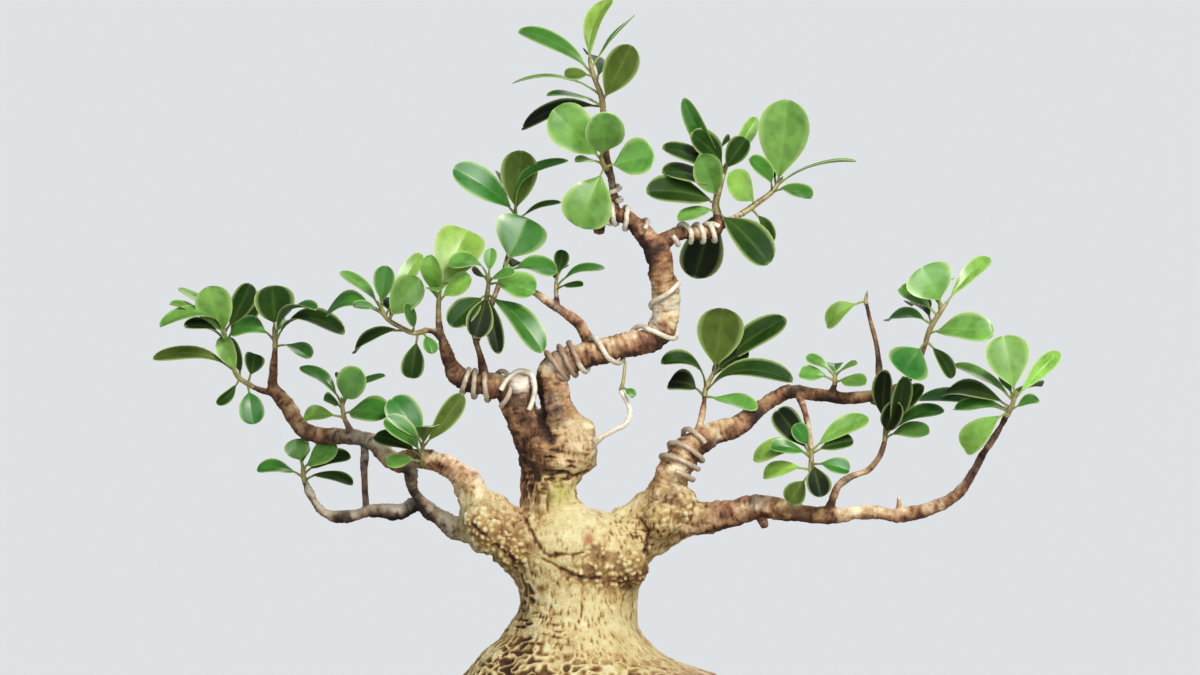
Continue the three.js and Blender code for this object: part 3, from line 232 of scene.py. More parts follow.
# Leafy shoots: the stem that carries each, the shoot's own places and radii, and its leaves. A leaf
# holds its place along the shoot from 0 to 1, its tip, its width, the turn and tilt of its face in
# degrees, its arch, and the letter of its green.
SPRAYS = {
    "spray_far_left": ("upper_left", [[-151.5, 16, 181, 1.4], [-152, 16, 186, 1.1]], [
        [1, -153, 12, 208.5, 21, 10, 20, 0.1, "d"], [0.5, -174, 6, 185.5, 15, -15, 48, 0.3, "m"],
        [0.6, -130, 10, 196, 12, 20, 55, 0.2, "m"], [0.4, -116, 22, 184, 15, 10, 55, 0.25, "d"],
        [0.1, -134, 4, 172, 13, 30, 40, 0.1, "m"], [0.6, -158, 40, 197, 14, 180, 40, 0.18, "m"],
    ]),
    "spray_far_left_low": ("far_left_twig", [
        [-170.5, 20, 162.5, 1.3], [-175, 19, 173, 1.2], [-179, 18, 192, 1],
    ], [
        [0.9, -185.5, 8, 208, 19, -5, 20, 0.08, "b"], [1, -201, 24, 207, 10, -30, 70, 0.1, "b"],
        [0.95, -205, 16, 199, 11, 0, 70, 0.1, "b"], [0.85, -209.5, 12, 187.5, 13, 0, 62, 0.36, "b"],
        [0.7, -197, 0, 188, 15, -10, 60, 0.2, "k"], [0.95, -164.5, 22, 209.5, 13, 35, 25, 0.08, "d"],
        [0.85, -161, 26, 198.5, 11, 30, 55, 0.15, "d"], [0.5, -213.5, 28, 171.5, 11, -10, 50, 0.17, "o"],
        [0.3, -178, 34, 182, 9, 160, 20, 0.1, "d"], [0.14, -162, 14, 138.5, 13, 0, 0, 0.1, "e"],
        [0.3, -181, 14, 149, 7, 60, 0, 0.1, "d"], [0.3, -178.5, 10, 183, 10, -15, 0, 0.08, "y"],
        [0.12, -162.5, 24, 174, 11, 20, 10, 0.08, "d"],
    ]),
    "spray_left_fan": ("fan_twig", [[-116.5, 0, 146, 1.2], [-117, -1, 150, 1]], [
        [0.9, -138, -6, 167.5, 9, -30, 60, 0.18, "m"], [1, -107, -8, 166.5, 16, 10, 25, 0.1, "b"],
        [0.8, -95, 8, 163, 9, 20, 65, 0.15, "m"], [0.6, -126, -12, 151, 9, -20, 40, 0.1, "d"],
        [0.3, -93.5, -10, 143.5, 17, 15, 25, 0.1, "m"], [0.7, -120, 24, 162, 12, 170, 45, 0.15, "d"],
        [0.05, -136.5, -5, 141.5, 11, -10, 45, 0.1, "y"],
    ]),
    "spray_left_arm": ("arm_twig", [[-76, -12, 122, 1.3], [-76, -13, 128, 1]], [
        [1, -91.5, -14, 151.5, 18, 0, 35, 0.16, "e"], [0.7, -95, -24, 141.5, 13, -30, 45, 0.14, "m"],
        [1, -56, -12, 154, 11, 35, 30, 0.1, "o"], [0.2, -94, -16, 119, 11, -10, 50, 0.1, "b"],
        [0.6, -100, -9, 133, 12, -20, 50, 0.1, "d"], [0.8, -71, -34, 138, 12, 10, 60, 0.2, "m"],
    ]),
    "spray_left_low": ("lower_left", [[-137, 20, 112, 1.4], [-137.5, 20, 117, 1]], [
        [0.5, -160.5, 16, 115.5, 12, -10, 55, 0.15, "m"], [0.9, -119.5, 10, 126, 15, 10, 35, 0.12, "b"],
        [1, -141.5, 13, 131, 13, -10, 30, 0.1, "b"], [0.7, -113, 22, 122, 12, 10, 50, 0.12, "d"],
        [0.3, -112, 14, 108, 10, 10, 55, 0.15, "d"], [0.8, -142, 42, 126, 12, 190, 45, 0.15, "m"],
    ]),
    "spray_mid_left": ("mid_left_twig", [
        [-80, 0, 184.5, 1.3], [-88, 2, 188, 1.2], [-94, 3, 192, 1.1], [-97, 3, 198, 1],
    ], [
        [0.95, -124, -4, 194.5, 15, -10, 50, 0.24, "m"], [1, -117, 8, 215, 9, -40, 70, 0.1, "b"],
        [1, -94, -2, 218, 11, 0, 25, 0.08, "m"], [0.85, -77, 6, 224, 9, 30, 50, 0.15, "y"],
        [0.75, -77, -10, 211.5, 17, 15, 30, 0.1, "b"], [0.8, -110, -12, 197.5, 11, -15, 55, 0.1, "m"],
        [0.4, -110, 6, 174.5, 13, -10, 50, 0.14, "d"], [0.3, -85, -12, 198, 9, 0, 30, 0.1, "m"],
        [0.2, -82, -8, 162, 12, 0, -10, 0.1, "d"], [0.1, -71, -14, 174, 8, 20, 10, 0.1, "m"],
        [0.7, -92, 28, 202, 12, 180, 45, 0.15, "d"],
    ]),
    "spray_mid_stem": ("left_stem", [[-68, -3, 198, 1.4], [-67.5, -3, 206, 1.1]], [
        [1, -53.5, -4, 236, 25, 0, 15, 0.08, "y"], [0.9, -71, -22, 223.5, 12, -15, 30, 0.1, "y"],
        [0.8, -73, 26, 218, 13, 180, 40, 0.15, "m"], [0.5, -68, -30, 205, 11, -10, 55, 0.2, "b"],
        [0.7, -51.5, -20, 212, 12, 15, 35, 0.1, "y"],
    ]),
    "spray_mid": ("mid_twig", [[-43.5, -6, 206, 1.1], [-43, -8, 212, 0.9]], [
        [1, -42, -12, 227, 7, 0, 20, 0.08, "b"], [0.95, -62.5, -18, 218, 14, -10, 52, 0.26, "b"],
        [0.3, -16, -24, 175, 15, 20, 30, 0.12, "m"], [0.3, -38, -20, 174, 9, 0, 20, 0.12, "k"],
        [0.8, -20, -18, 204.5, 17, 10, 38, 0.12, "b"], [0.9, -30, -26, 214, 8, 10, 30, 0.1, "b"],
        [0.25, -62, -18, 188, 14, -20, 0, 0.1, "d"], [0.25, -50, -24, 182, 14, 0, -10, 0.1, "k"],
        [0.7, -50, 14, 214, 11, 180, 40, 0.12, "d"],
    ]),
    "spray_inner_tip": ("inner_stem", [[-34.5, 1, 214.5, 1.1], [-35, -1, 218, 1]], [
        [1, -23.5, -6, 242, 27, 0, 10, 0.07, "m"], [0.6, -9, -2, 215, 15, 10, 52, 0.16, "m"],
        [0.5, -24, 22, 218, 12, 150, 50, 0.15, "d"],
    ]),
    "spray_mid_top": ("mid_top_twig", [[-30, 7, 241, 1.1], [-30, 6, 246, 1]], [
        [0.9, -61, 4, 267, 17, -25, 38, 0.12, "e"], [0.8, -27, 2, 276, 19, 0, 12, 0.07, "o"],
        [0.8, -3.5, 12, 271, 9, 30, 60, 0.28, "m"], [0.4, -7, 8, 250, 8, 10, 65, 0.1, "d"],
        [0.8, -37, 34, 264, 14, 190, 40, 0.15, "d"],
    ]),
    "spray_inner": ("inner_twig", [[-9.5, 7, 207, 1.1], [-9.5, 7, 210, 0.9]], [
        [0.7, 15, 4, 217, 11, 10, 65, 0.15, "m"], [0.4, 4, -3, 208, 7, 10, 50, 0.1, "d"],
        [1, -6, 10, 226, 8, 20, 50, 0.1, "d"], [0.6, -6, 28, 217, 10, 180, 45, 0.15, "d"],
    ]),
    "spray_crown": ("top_stem", [[13, 5, 303, 1.4], [9.5, 5, 312, 1.2], [7.5, 5, 319, 1]], [
        [1, 18, 2, 351, 12, -38, 10, 0.2, "y"], [0.75, -28, 8, 335.5, 13, -20, 60, 0.12, "m"],
        [0.35, -31, -2, 309, 10, 0, 80, 0.14, "b"], [0.95, 30, 10, 343, 9, -75, 40, 0.04, "b"],
        [0.2, 28, -7, 327.5, 17, 15, 20, 0.08, "o"], [0.05, -14, -8, 302.5, 11, -10, 72, 0.1, "m"],
        [0.05, -26, 18, 287.5, 14, -20, 40, 0.1, "k"], [0.7, -5, -8, 312, 9, -20, 30, 0.1, "o"],
        [0.6, 6, 34, 324, 13, 180, 40, 0.15, "d"],
    ]),
    "spray_crown_round": ("crown_twig", [[14, -2, 268.5, 1.3], [13, -5, 272, 1]], [
        [0.9, -11, -11, 295.5, 23, -10, 20, 0.08, "b"], [1, 15.5, -19, 294, 20, 5, 25, 0.08, "b"],
        [0.3, 39.5, -8, 273.5, 20, 15, 20, 0.02, "b"], [0.3, 2.5, -15, 237, 26, -10, 0, 0.08, "b"],
        [0.6, 0, -15, 270, 7, 0, 60, 0.1, "b"],
    ]),
    "spray_right_crown": ("right_fork", [[70.5, 3, 249, 1.9], [73, 7, 259, 1.5], [76, 9, 269, 1.2]], [
        [1, 54.5, 8, 302, 10, -30, 30, 0.1, "m"], [0.95, 58, 0, 284, 15, -10, 30, 0.1, "d"],
        [1, 91, 14, 293, 8, 40, 40, 0.1, "y"], [0.6, 43.5, 8, 277, 15, -20, 50, 0.2, "d"],
        [0.5, 62, -13, 273.5, 16, 0, 15, 0.07, "b"], [0.35, 35.5, -6, 255, 17, -10, 28, 0.12, "d"],
        [0.5, 43.5, 0, 264.5, 15, -15, 45, 0.18, "d"], [0.12, 51.5, -10, 240.5, 9, -10, 30, 0.1, "b"],
        [0.9, 86, -2, 282, 12, 20, 40, 0.12, "d"], [0.1, 97, -14, 219, 19, 15, 20, 0.1, "d"],
        [0.16, 60, 21, 212, 22, 0, -30, -0.08, "k"], [0.8, 78, 36, 282, 13, 180, 40, 0.15, "d"],
    ]),
    "spray_right_crown_tip": ("crown_tip_twig", [
        [92.5, 0, 250.5, 1.6], [99, 0, 255.5, 1.4], [103, 0, 261, 1.1],
    ], [
        [1, 106.5, -4, 301.5, 26, 0, 12, 0.07, "b"], [0.7, 87, -12, 271.5, 12, -20, 40, 0.15, "m"],
        [0.95, 141, 2, 270.5, 9, 0, 82, 0.1, "b"], [0.7, 118.5, -8, 252, 12, 10, 50, 0.15, "m"],
        [0.25, 76.5, -17, 264, 15, 0, 15, 0.07, "y"], [0.2, 98, 10, 229, 12, 45, 20, 0.1, "d"],
        [0.9, 107, 30, 274, 13, 180, 40, 0.15, "d"],
    ]),
    "spray_right_fan": ("right_fan_twig", [[65.5, 12, 156, 1.3], [69, 14, 163, 1.2], [73, 16, 169, 1]], [
        [0.8, 74, 10, 197, 24, 5, 15, 0.07, "o"], [0.9, 106, 16, 192, 15, 20, 40, 0.1, "d"],
        [0.7, 87, 4, 175.5, 13, 20, 40, 0.12, "k"], [0.4, 43, 6, 169.5, 13, 0, 55, 0.28, "d"],
        [0.06, 47, 18, 159.5, 14, -15, 38, 0.28, "k"], [0.3, 109, 4, 160, 16, 10, 52, 0.22, "d"],
        [0.05, 91, -4, 146.5, 11, 10, 45, 0.04, "b"], [0.8, 68, 44, 184, 14, 180, 40, 0.15, "d"],
        [0.5, 86, 38, 166, 13, 150, 45, 0.15, "d"],
    ]),
    "spray_right_small": ("right_small_twig", [[130, 4, 161, 1.2], [130, 4, 164, 1]], [
        [0.9, 116, 0, 173, 7, -20, 50, 0.1, "b"], [0.5, 112, -6, 163.5, 11, -20, 45, 0.12, "b"],
        [0.9, 141, 2, 169, 7, 20, 50, 0.1, "b"], [0.3, 145, -6, 159, 10, 10, 30, 0.1, "b"],
        [0.5, 130, 22, 169, 9, 180, 40, 0.15, "m"],
    ]),
    "spray_right_hanging": ("right_hanging_twig", [[117.5, -13, 121, 1.2], [117, -13, 114, 1]], [
        [0.25, 101, -22, 146, 14, -10, 20, 0.1, "k"], [0.1, 146, -16, 142.5, 12, 20, 45, 0.12, "b"],
        [0.3, 89, -20, 122, 14, -20, 40, 0.24, "y"], [0.4, 97, -30, 128, 9, -10, 40, 0.15, "m"],
        [0.1, 109, -28, 139, 9, -10, 30, 0.1, "e"], [0.2, 138.5, -20, 131, 10, 10, 40, 0.1, "d"],
        [0.7, 136.5, -22, 116, 10, 10, 30, 0.12, "e"], [0.9, 94, -18, 113, 11, -10, 40, 0.15, "y"],
        [1, 106.5, -22, 100, 12, -10, 10, 0.1, "o"], [0.5, 122, -27, 103, 13, 10, -5, 0.08, "k"],
    ]),
    "spray_right_high": ("right_arm", [[176, -3, 186, 1.3], [180, -3, 193, 1.2], [184, -2, 199, 1]], [
        [0.95, 172, -18, 217, 25, -10, 35, 0.1, "b"], [1, 206.5, 0, 222, 9, 20, 50, 0.12, "y"],
        [0.7, 162, -2, 207, 9, -20, 40, 0.1, "b"], [0.5, 156, 4, 190.5, 12, 0, 48, 0.15, "m"],
        [0.25, 207, -6, 184, 17, 10, 32, 0.12, "b"], [0.08, 162.5, -18, 164.5, 23, 0, 15, 0.08, "e"],
        [0.1, 187, -8, 162, 9, 30, 10, 0.1, "d"], [0.8, 186, 28, 210, 13, 180, 40, 0.15, "m"],
        [0.5, 168, 26, 198, 12, 200, 45, 0.15, "d"],
    ]),
    "spray_right_single": ("right_single_twig", [[145, 7, 200, 1], [145.5, 7, 203, 0.8]], [
        [0.7, 126, 2, 188.5, 13, -15, 35, 0.12, "y"],
    ]),
    "spray_right_low": ("right_low_twig", [[155, 3, 134, 1.3], [155.5, 3, 139, 1.1]], [
        [1, 155, -12, 166, 12, -20, 15, 0.08, "k"], [1, 163, -14, 163, 12, 20, 20, 0.1, "d"],
        [0.5, 161, -12, 150, 11, 10, 30, 0.1, "k"], [0.2, 176.5, -4, 134.5, 12, 10, 42, 0.12, "b"],
        [0.8, 174, 6, 158, 11, 30, 42, 0.1, "d"], [0.5, 184, 8, 146, 12, 15, 50, 0.12, "m"],
        [0.6, 149, 27, 149, 12, 190, 40, 0.15, "d"],
    ]),
    "spray_far_right": ("right_low_arm", [[216, -3, 148, 1.4], [218, -3, 154, 1.1]], [
        [1, 212, -5, 183, 22, 0, 12, 0.07, "b"], [0.9, 240, -1, 175, 9, 30, 40, 0.1, "y"],
        [0.8, 187.5, 12, 168, 10, -10, 72, 0.08, "b"], [0.5, 183.5, 6, 154, 14, -10, 52, 0.14, "d"],
        [0.3, 188.5, -8, 146.5, 12, -10, 55, 0.1, "m"], [0.3, 230, 2, 151, 9, 30, 55, 0.1, "m"],
        [0.25, 193.5, -16, 127, 15, -10, 20, 0.12, "y"], [0.8, 220, 28, 170, 13, 180, 40, 0.15, "m"],
        [0.4, 232, 24, 158, 12, 150, 45, 0.15, "d"], [0.35, 172, 14, 151.5, 11, -10, 45, 0.08, "e"],
    ]),
    "spray_bud": ("bud_twig", [[24, -15, 160, 1], [25, -14, 169, 0.7]], [
        [0.25, 30, -19, 153, 5, 10, 10, 0.1, "m"],
    ]),
}

# Training wire: the stem it is wound round, its winding, how brown it is, and the place up to which
# it is brown. A winding holds places along the stem, counted in its points, and the turns up to each.
WIRES = {
    "wire_right_stem": (
        "right_stem", [[4, 0], [5.1, 3], [6.2, 4], [8.4, 5], [10.8, 6.1]], 0.75, 5.1,
    ),
    "wire_left_fork": ("left_fork", [[0.9, 0], [2.2, 1], [3.6, 3.4]], 0, 0),
    "wire_right_fork": ("right_fork", [[0.9, 0], [2.2, 1], [3, 2], [4.1, 4]], 0, 0),
    "wire_left_stem": (
        "left_stem", [[2.5, -0.2], [3.3, 0.2], [4.2, 1.2], [5.4, 3.2]], 0.45, math.inf,
    ),
    "wire_right_branch": ("right_arm", [[3.6, 0], [4.4, 1.4], [5.4, 3.1]], 0.5, math.inf),
    "wire_crown": ("top_stem", [[0.8, 0], [1.6, 1.4]], 0, 0),
}
# The wire that is bent over the cut stub.
STUB_WIRE = [
    [-37, -11, 156], [-34, -10, 161], [-28, -8, 165.5], [-22, -9, 164], [-20, -11, 158],
    [-21, -12, 151], [-23, -13, 146],
]

# The middle of the tree's foot at the soil line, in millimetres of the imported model's frame.
POT_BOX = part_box("pot")
ORIGIN = np.array([
    (POT_BOX[0][0] + POT_BOX[1][0]) / 2 / MM - POT_CENTRE_X,
    (POT_BOX[0][1] + POT_BOX[1][1]) / 2 / MM,
    SOIL_LEVEL,
])


# Repeatable noise.

CORNERS = np.array([[x, y, z] for x in (0, 1) for y in (0, 1) for z in (0, 1)])
NEIGHBOURS = np.array([[x, y, z] for x in (-1, 0, 1) for y in (-1, 0, 1) for z in (-1, 0, 1)])
# Large odd numbers and shifts that turn a cell's place into a number without a pattern.
CELL_FACTORS = (73856093, 19349663, 83492791)
SEED_FACTOR = 2654435
STIRRINGS = ((13, 1274126177), (17, 668265263))
KEPT_BITS = 0x7FFFFFFFFFFF
LAST_SHIFT = 12
LAST_BITS = 0xFFFFF
# How much of its cell a scattered spot may stray over.
STRAY = 0.8
# What is added to the seed for a spot's own number, and for whether its streak is there.
NUMBER_SEED = 5
SHARE_SEED = 7
FAR_AWAY = 1000.0


def hashed(cells, seed):
    """A number from 0 to 1 for each whole-numbered cell, the same on each run."""
    mixed = seed * SEED_FACTOR
    for axis, factor in enumerate(CELL_FACTORS):
        mixed = mixed ^ (cells[:, axis].astype(np.int64) * factor)
    for shift, factor in STIRRINGS:
        mixed = ((mixed ^ (mixed >> shift)) * factor) & KEPT_BITS
    return ((mixed >> LAST_SHIFT) & LAST_BITS) / LAST_BITS


def noise(points, size, seed):
    """Smooth noise from -1 to 1 at each point, with lumps of about the size given."""
    places = points / size
    cells = np.floor(places)
    inside = places - cells
    ease = inside * inside * (3 - 2 * inside)
    total = np.zeros(len(points))
    for corner in CORNERS:
        weight = np.prod(np.where(corner, ease, 1 - ease), axis=1)
        total += weight * hashed(cells + corner, seed)
    return 2 * total - 1


def noise_in_space(points, size, seed, axes=3):
    """A noise of its own for each axis."""
    return np.stack([noise(points, size, seed + axis) for axis in range(axes)], axis=1)


def spots_round(points, size, seed):
    """For each cell round each point, the cell, and how far the point is from its one spot."""
    places = points / size
    cells = np.floor(places)
    for step in NEIGHBOURS:
        cell = cells + step
        shift = np.stack([hashed(cell, seed + axis) for axis in range(3)], axis=1) - 0.5
        yield cell, (places - cell - 0.5 - STRAY * shift) * size


def scattered(points, size, seed):
    """How far each point is from the nearest spot, and that spot's own number from 0 to 1."""
    nearest = np.full(len(points), FAR_AWAY)
    number = np.zeros(len(points))
    for cell, away in spots_round(points, size, seed):
        away = np.linalg.norm(away, axis=1)
        closer = away < nearest
        nearest[closer] = away[closer]
        number[closer] = hashed(cell[closer], seed + NUMBER_SEED)
    return nearest, number


def streaks(points, flow, size, seed, long, wide, share):
    """How deep in a short streak each point lies, from 0 to 1. A streak lies on a spot and runs
    along the flow, and only a share of the spots has one."""
    deepest = np.zeros(len(points))
    for cell, away in spots_round(points, size, seed):
        along = np.sum(away * flow, axis=1)
        across = np.linalg.norm(away - along[:, None] * flow, axis=1)
        depth = np.clip(1 - np.hypot(along / long, across / wide), 0, 1)
        deepest = np.maximum(deepest, depth * (hashed(cell, seed + SHARE_SEED) < share))
    return deepest


def blob(points, middle, reach):
    """1 in the middle of a blob, falling off to 0 outside it."""
    away = (points - np.array(middle, dtype=float)) / np.array(reach, dtype=float)
    return np.exp(-np.sum(away * away, axis=1))


def blobs(points, rows):
    """The sum of blobs, each given by its middle, its reach and its strength."""
    return sum(strength * blob(points, middle, reach) for middle, reach, strength in rows)


# Curves, and the depth of the crown, which the wood and the leaves share.

def placed(point):
    """A place of the flat drawing of the tree, with the depth of its region of the crown."""
    x, y, z = (float(value) for value in point[:3])
    depth = sum(
        deep * math.exp(-((x - middle_x) ** 2 + (z - middle_z) ** 2) / reach**2)
        for middle_x, middle_z, reach, deep in CROWN_DEPTHS
    )
    return np.array([x, y + depth, z])


def unit(vectors):
    """A vector, or each row of vectors, at length 1."""
    return vectors / np.linalg.norm(vectors, axis=-1, keepdims=True)


def curve(points, steps):
    """Places on a smooth line through the points, with so many steps to a span."""
    points = [np.asarray(point, dtype=float) for point in points]
    ends = [2 * points[0] - points[1], *points, 2 * points[-1] - points[-2]]
    made = []
    for before, start, end, after in zip(ends, ends[1:], ends[2:], ends[3:]):
        ways = (start - before, end - start, after - end)
        first, middle, last = (np.linalg.norm(way) ** 0.5 for way in ways)
        leave = (start - before) / first - (end - before) / (first + middle) + (end - start) / middle
        arrive = (end - start) / middle - (after - start) / (middle + last) + (after - end) / last
        leave, arrive = leave * middle, arrive * middle
        for step in range(steps):
            t = step / steps
            made.append(
                (2 * t**3 - 3 * t**2 + 1) * start
                + (t**3 - 2 * t**2 + t) * leave
                + (3 * t**2 - 2 * t**3) * end
                + (t**3 - t**2) * arrive
            )
    made.append(points[-1])
    return np.array(made)


def spans(values, steps):
    """The values, and even steps between them."""
    values = np.asarray(values, dtype=float)
    return np.interp(np.arange(steps * (len(values) - 1) + 1) / steps, np.arange(len(values)), values)


def stem_path(rows, steps):
    """The middle line of a stem, and its radius at each place."""
    path = curve([placed(row) for row in rows], steps)
    return path, spans([row[3] for row in rows], steps)


def run_along(path):
    """How far along a path each of its places is."""
    return np.concatenate([[0], np.cumsum(np.linalg.norm(np.diff(path, axis=0), axis=1))])


def sides_along(path):
    """The directions along a path, across it and beside it, carried along without twist."""
    along = unit(np.gradient(path, axis=0))
    across = np.zeros_like(along)
    carried = FIRST_SIDE
    for index, ahead in enumerate(along):
        carried = unit(carried - np.dot(carried, ahead) * ahead)
        across[index] = carried
    return along, across, np.cross(along, across)


# Meshes from lists of points and faces.

class Shape:
    """Points in tree millimetres, faces, and named numbers at each point."""

    def __init__(self):
        self.points, self.faces, self.marks, self.count = [], [], {}, 0

    def add(self, points, faces, **marks):
        """Adds a body, with one value of each mark for all of its points or one for each."""
        self.faces += [[index + self.count for index in face] for face in faces]
        for name, values in marks.items():
            values = np.asarray(values, dtype=float)
            wide = (3,) if name == "tint" else ()
            self.marks.setdefault(name, []).append(np.broadcast_to(values, (len(points), *wide)))
        self.points.append(points)
        self.count += len(points)

    def mesh(self, name):
        data = bpy.data.meshes.new(name)
        places = (np.concatenate(self.points) + ORIGIN) * MM
        data.from_pydata(places.tolist(), [], self.faces)
        for mark, values in self.marks.items():
            set_mark(data, mark, np.concatenate(values))
        data.validate()
        return data


def set_mark(data, name, values):
    """Keeps a number or a colour at each point for the materials."""
    if values.ndim == 2:
        colours = np.ones((len(values), 4))
        colours[:, :3] = values
        layer = data.attributes.new(name, "FLOAT_COLOR", "POINT")
        layer.data.foreach_set("color", colours.ravel())
    else:
        layer = data.attributes.new(name, "FLOAT", "POINT")
        layer.data.foreach_set("value", values)


def vertex_values(data, name):
    values = np.empty(len(data.vertices) * 3)
    data.vertices.foreach_get(name, values)
    return values.reshape(-1, 3)


def mesh_points(data):
    return vertex_values(data, "co") / MM - ORIGIN


def linked(name, data):
    """A new object in the scene."""
    made = bpy.data.objects.new(name, data)
    bpy.context.collection.objects.link(made)
    return made


def modify(holder, kind, **settings):
    """Adds a modifier to an object."""
    step = holder.modifiers.new(kind, kind)
    for name, value in settings.items():
        setattr(step, name, value)


def taken(holder):
    """The mesh of an object with its modifiers applied. The object goes."""
    depsgraph = bpy.context.evaluated_depsgraph_get()
    data = bpy.data.meshes.new_from_object(holder.evaluated_get(depsgraph))
    bpy.data.objects.remove(holder)
    return data


def remeshed(data, voxel, smoothing):
    """One even skin round all that overlaps in a mesh."""
    holder = linked("holder", data)
    modify(holder, "REMESH", mode="VOXEL", voxel_size=voxel * MM)
    modify(holder, "SMOOTH", iterations=smoothing)
    return taken(holder)


def thinned(data, triangles):
    """The mesh with about so many triangles at most."""
    count = sum(len(face.vertices) - 2 for face in data.polygons)
    holder = linked("holder", data)
    modify(holder, "DECIMATE", ratio=min(triangles / count, 1))
    return taken(holder)


def show(name, data, materials, replaced, sharp):
    """Puts a piece in the scene, in smooth shading but for edges sharper than the angle given."""
    for material in materials:
        data.materials.append(material)
    data.polygons.foreach_set("use_smooth", [True] * len(data.polygons))
    data.set_sharp_from_angle(angle=math.radians(sharp))
    made = linked(name, data)
    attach(made, "root")
    if replaced:
        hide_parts(replaced)


def around(sides):
    """The cosines and sines of so many even angles."""
    angles = TURN * np.arange(sides) / sides
    return np.cos(angles), np.sin(angles)


def ring(x, y, height, radius, sides):
    """A level circle."""
    cosines, sines = around(sides)
    return np.stack([x + radius * cosines, y + radius * sines, np.full(sides, height)], axis=1)


def loft(rings):
    """Points and faces of a closed body through rings of equal count."""
    rings = np.asarray(rings, dtype=float)
    levels, count = rings.shape[:2]
    faces = []
    for level in range(levels - 1):
        low, high = level * count, (level + 1) * count
        for side in range(count):
            beside = (side + 1) % count
            faces.append([low + side, low + beside, high + beside, high + side])
    faces.append(list(range(count))[::-1])
    faces.append([(levels - 1) * count + side for side in range(count)])
    return rings.reshape(-1, 3), faces


def tube(path, radii, sides, swell=None):
    """Rings round a path. The swell gives a factor for the radius at each point."""
    _, across, beside = sides_along(path)
    cosines, sines = around(sides)
    spokes = cosines[:, None] * across[:, None] + sines[:, None] * beside[:, None]
    reach = np.repeat(np.asarray(radii)[:, None], sides, axis=1)
    if swell:
        surface = path[:, None] + spokes * reach[:, :, None]
        factors = swell(surface.reshape(-1, 3), np.repeat(run_along(path), sides))
        reach = reach * factors.reshape(len(path), sides)
    return loft(path[:, None] + spokes * reach[:, :, None])


# Materials.

class Paint:
    """A material, and short ways to add nodes to it. Sizes are in millimetres."""

    def __init__(self, name):
        self.material = bpy.data.materials.new(name)
        self.material.use_nodes = True
        self.tree = self.material.node_tree
        self.shader = self.tree.nodes["Principled BSDF"]
        self.where = self.node("ShaderNodeTexCoord").outputs["Object"]

    def node(self, kind, **settings):
        made = self.tree.nodes.new(kind)
        for name, value in settings.items():
            setattr(made, name, value)
        return made

    def put(self, target, value):
        if isinstance(value, bpy.types.NodeSocket):
            self.tree.links.new(value, target)
        elif isinstance(value, tuple):
            target.default_value = (*value, 1)
        else:
            target.default_value = value

    def fill(self, made, **values):
        """Fills the sockets of a node. A socket's name has its blanks written as underscores."""
        for name, value in values.items():
            self.put(made.inputs[name.replace("_", " ")], value)

    def mark(self, name, colour=False):
        """What a mesh keeps under that name at each point."""
        made = self.node("ShaderNodeAttribute", attribute_name=name)
        return made.outputs["Color" if colour else "Fac"]

    def noise(self, size, detail, rough=0.55):
        made = self.node("ShaderNodeTexNoise")
        self.fill(made, Vector=self.where, Scale=1 / (size * MM), Detail=detail, Roughness=rough)
        return made.outputs["Fac"]

    def cells(self, size):
        made = self.node("ShaderNodeTexVoronoi")
        self.fill(made, Vector=self.where, Scale=1 / (size * MM))
        return made.outputs["Distance"]

    def ramp(self, value, *stops):
        """Colours or greys at places from 0 to 1."""
        made = self.node("ShaderNodeValToRGB")
        self.put(made.inputs["Fac"], value)
        elements = made.color_ramp.elements
        while len(elements) < len(stops):
            elements.new(0.5)
        for element, (place, colour) in zip(elements, stops):
            element.position = place
            element.color = (*colour, 1) if isinstance(colour, tuple) else (colour,) * 3 + (1,)
        return made.outputs["Color"]

    def mix(self, share, first, second, blend="MIX"):
        made = self.node("ShaderNodeMix", data_type="RGBA", blend_type=blend)
        for name, value in (("Factor", share), ("A", first), ("B", second)):
            sockets = [s for s in made.inputs if s.name == name and s.enabled]
            self.put(sockets[0], value)
        return [s for s in made.outputs if s.enabled][0]

    def maths(self, kind, first, second):
        made = self.node("ShaderNodeMath", operation=kind)
        self.put(made.inputs[0], first)
        self.put(made.inputs[1], second)
        return made.outputs["Value"]

    def bump(self, height, depth, strength):
        made = self.node("ShaderNodeBump")
        self.fill(made, Height=height, Distance=depth * MM, Strength=strength)
        return made.outputs["Normal"]

    def finish(self, **values):
        self.fill(self.shader, **values)
        return self.material


CREAM_BARK = [
    (0.0, (0.022, 0.010, 0.005)),
    (0.25, (0.13, 0.058, 0.020)),
    (0.45, (0.36, 0.225, 0.080)),
    (0.62, (0.54, 0.43, 0.20)),
    (0.8, (0.65, 0.585, 0.335)),
    (1.0, (0.76, 0.71, 0.48)),
]
RUSTY_BARK = [
    (0.0, (0.018, 0.008, 0.005)),
    (0.22, (0.075, 0.028, 0.014)),
    (0.42, (0.21, 0.088, 0.045)),
    (0.62, (0.42, 0.235, 0.130)),
    (0.88, (0.74, 0.60, 0.43)),
]
GREY_BARK = [
    (0.0, (0.012, 0.009, 0.007)),
    (0.35, (0.11, 0.085, 0.06)),
    (0.8, (0.50, 0.45, 0.36)),
]
BARK_STAINS = {"algae": (0.36, 0.40, 0.06), "cut": (0.80, 0.72, 0.61), "knot": (0.38, 0.12, 0.055)}
BARK_GRAIN = 0.42

LEAF_SHADE = (0.52, 0.66, 0.50)
LEAF_RIB = (0.30, 0.42, 0.10)
LEAF_UNDERSIDE = (0.10, 0.135, 0.032)
# The pale green of a painted highlight along the leaf's edge.
LEAF_RIM_HIGHLIGHT = (0.50, 0.64, 0.24)
STALK_COLOURS = [(0.3, (0.20, 0.14, 0.05)), (0.7, (0.44, 0.38, 0.15))]

WIRE_METAL = [(0.3, (0.52, 0.43, 0.31)), (0.5, (0.74, 0.67, 0.53)), (0.75, (0.86, 0.81, 0.69))]
WIRE_BROWN = (0.27, 0.13, 0.065)
WIRE_DIRT = (0.17, 0.11, 0.06)

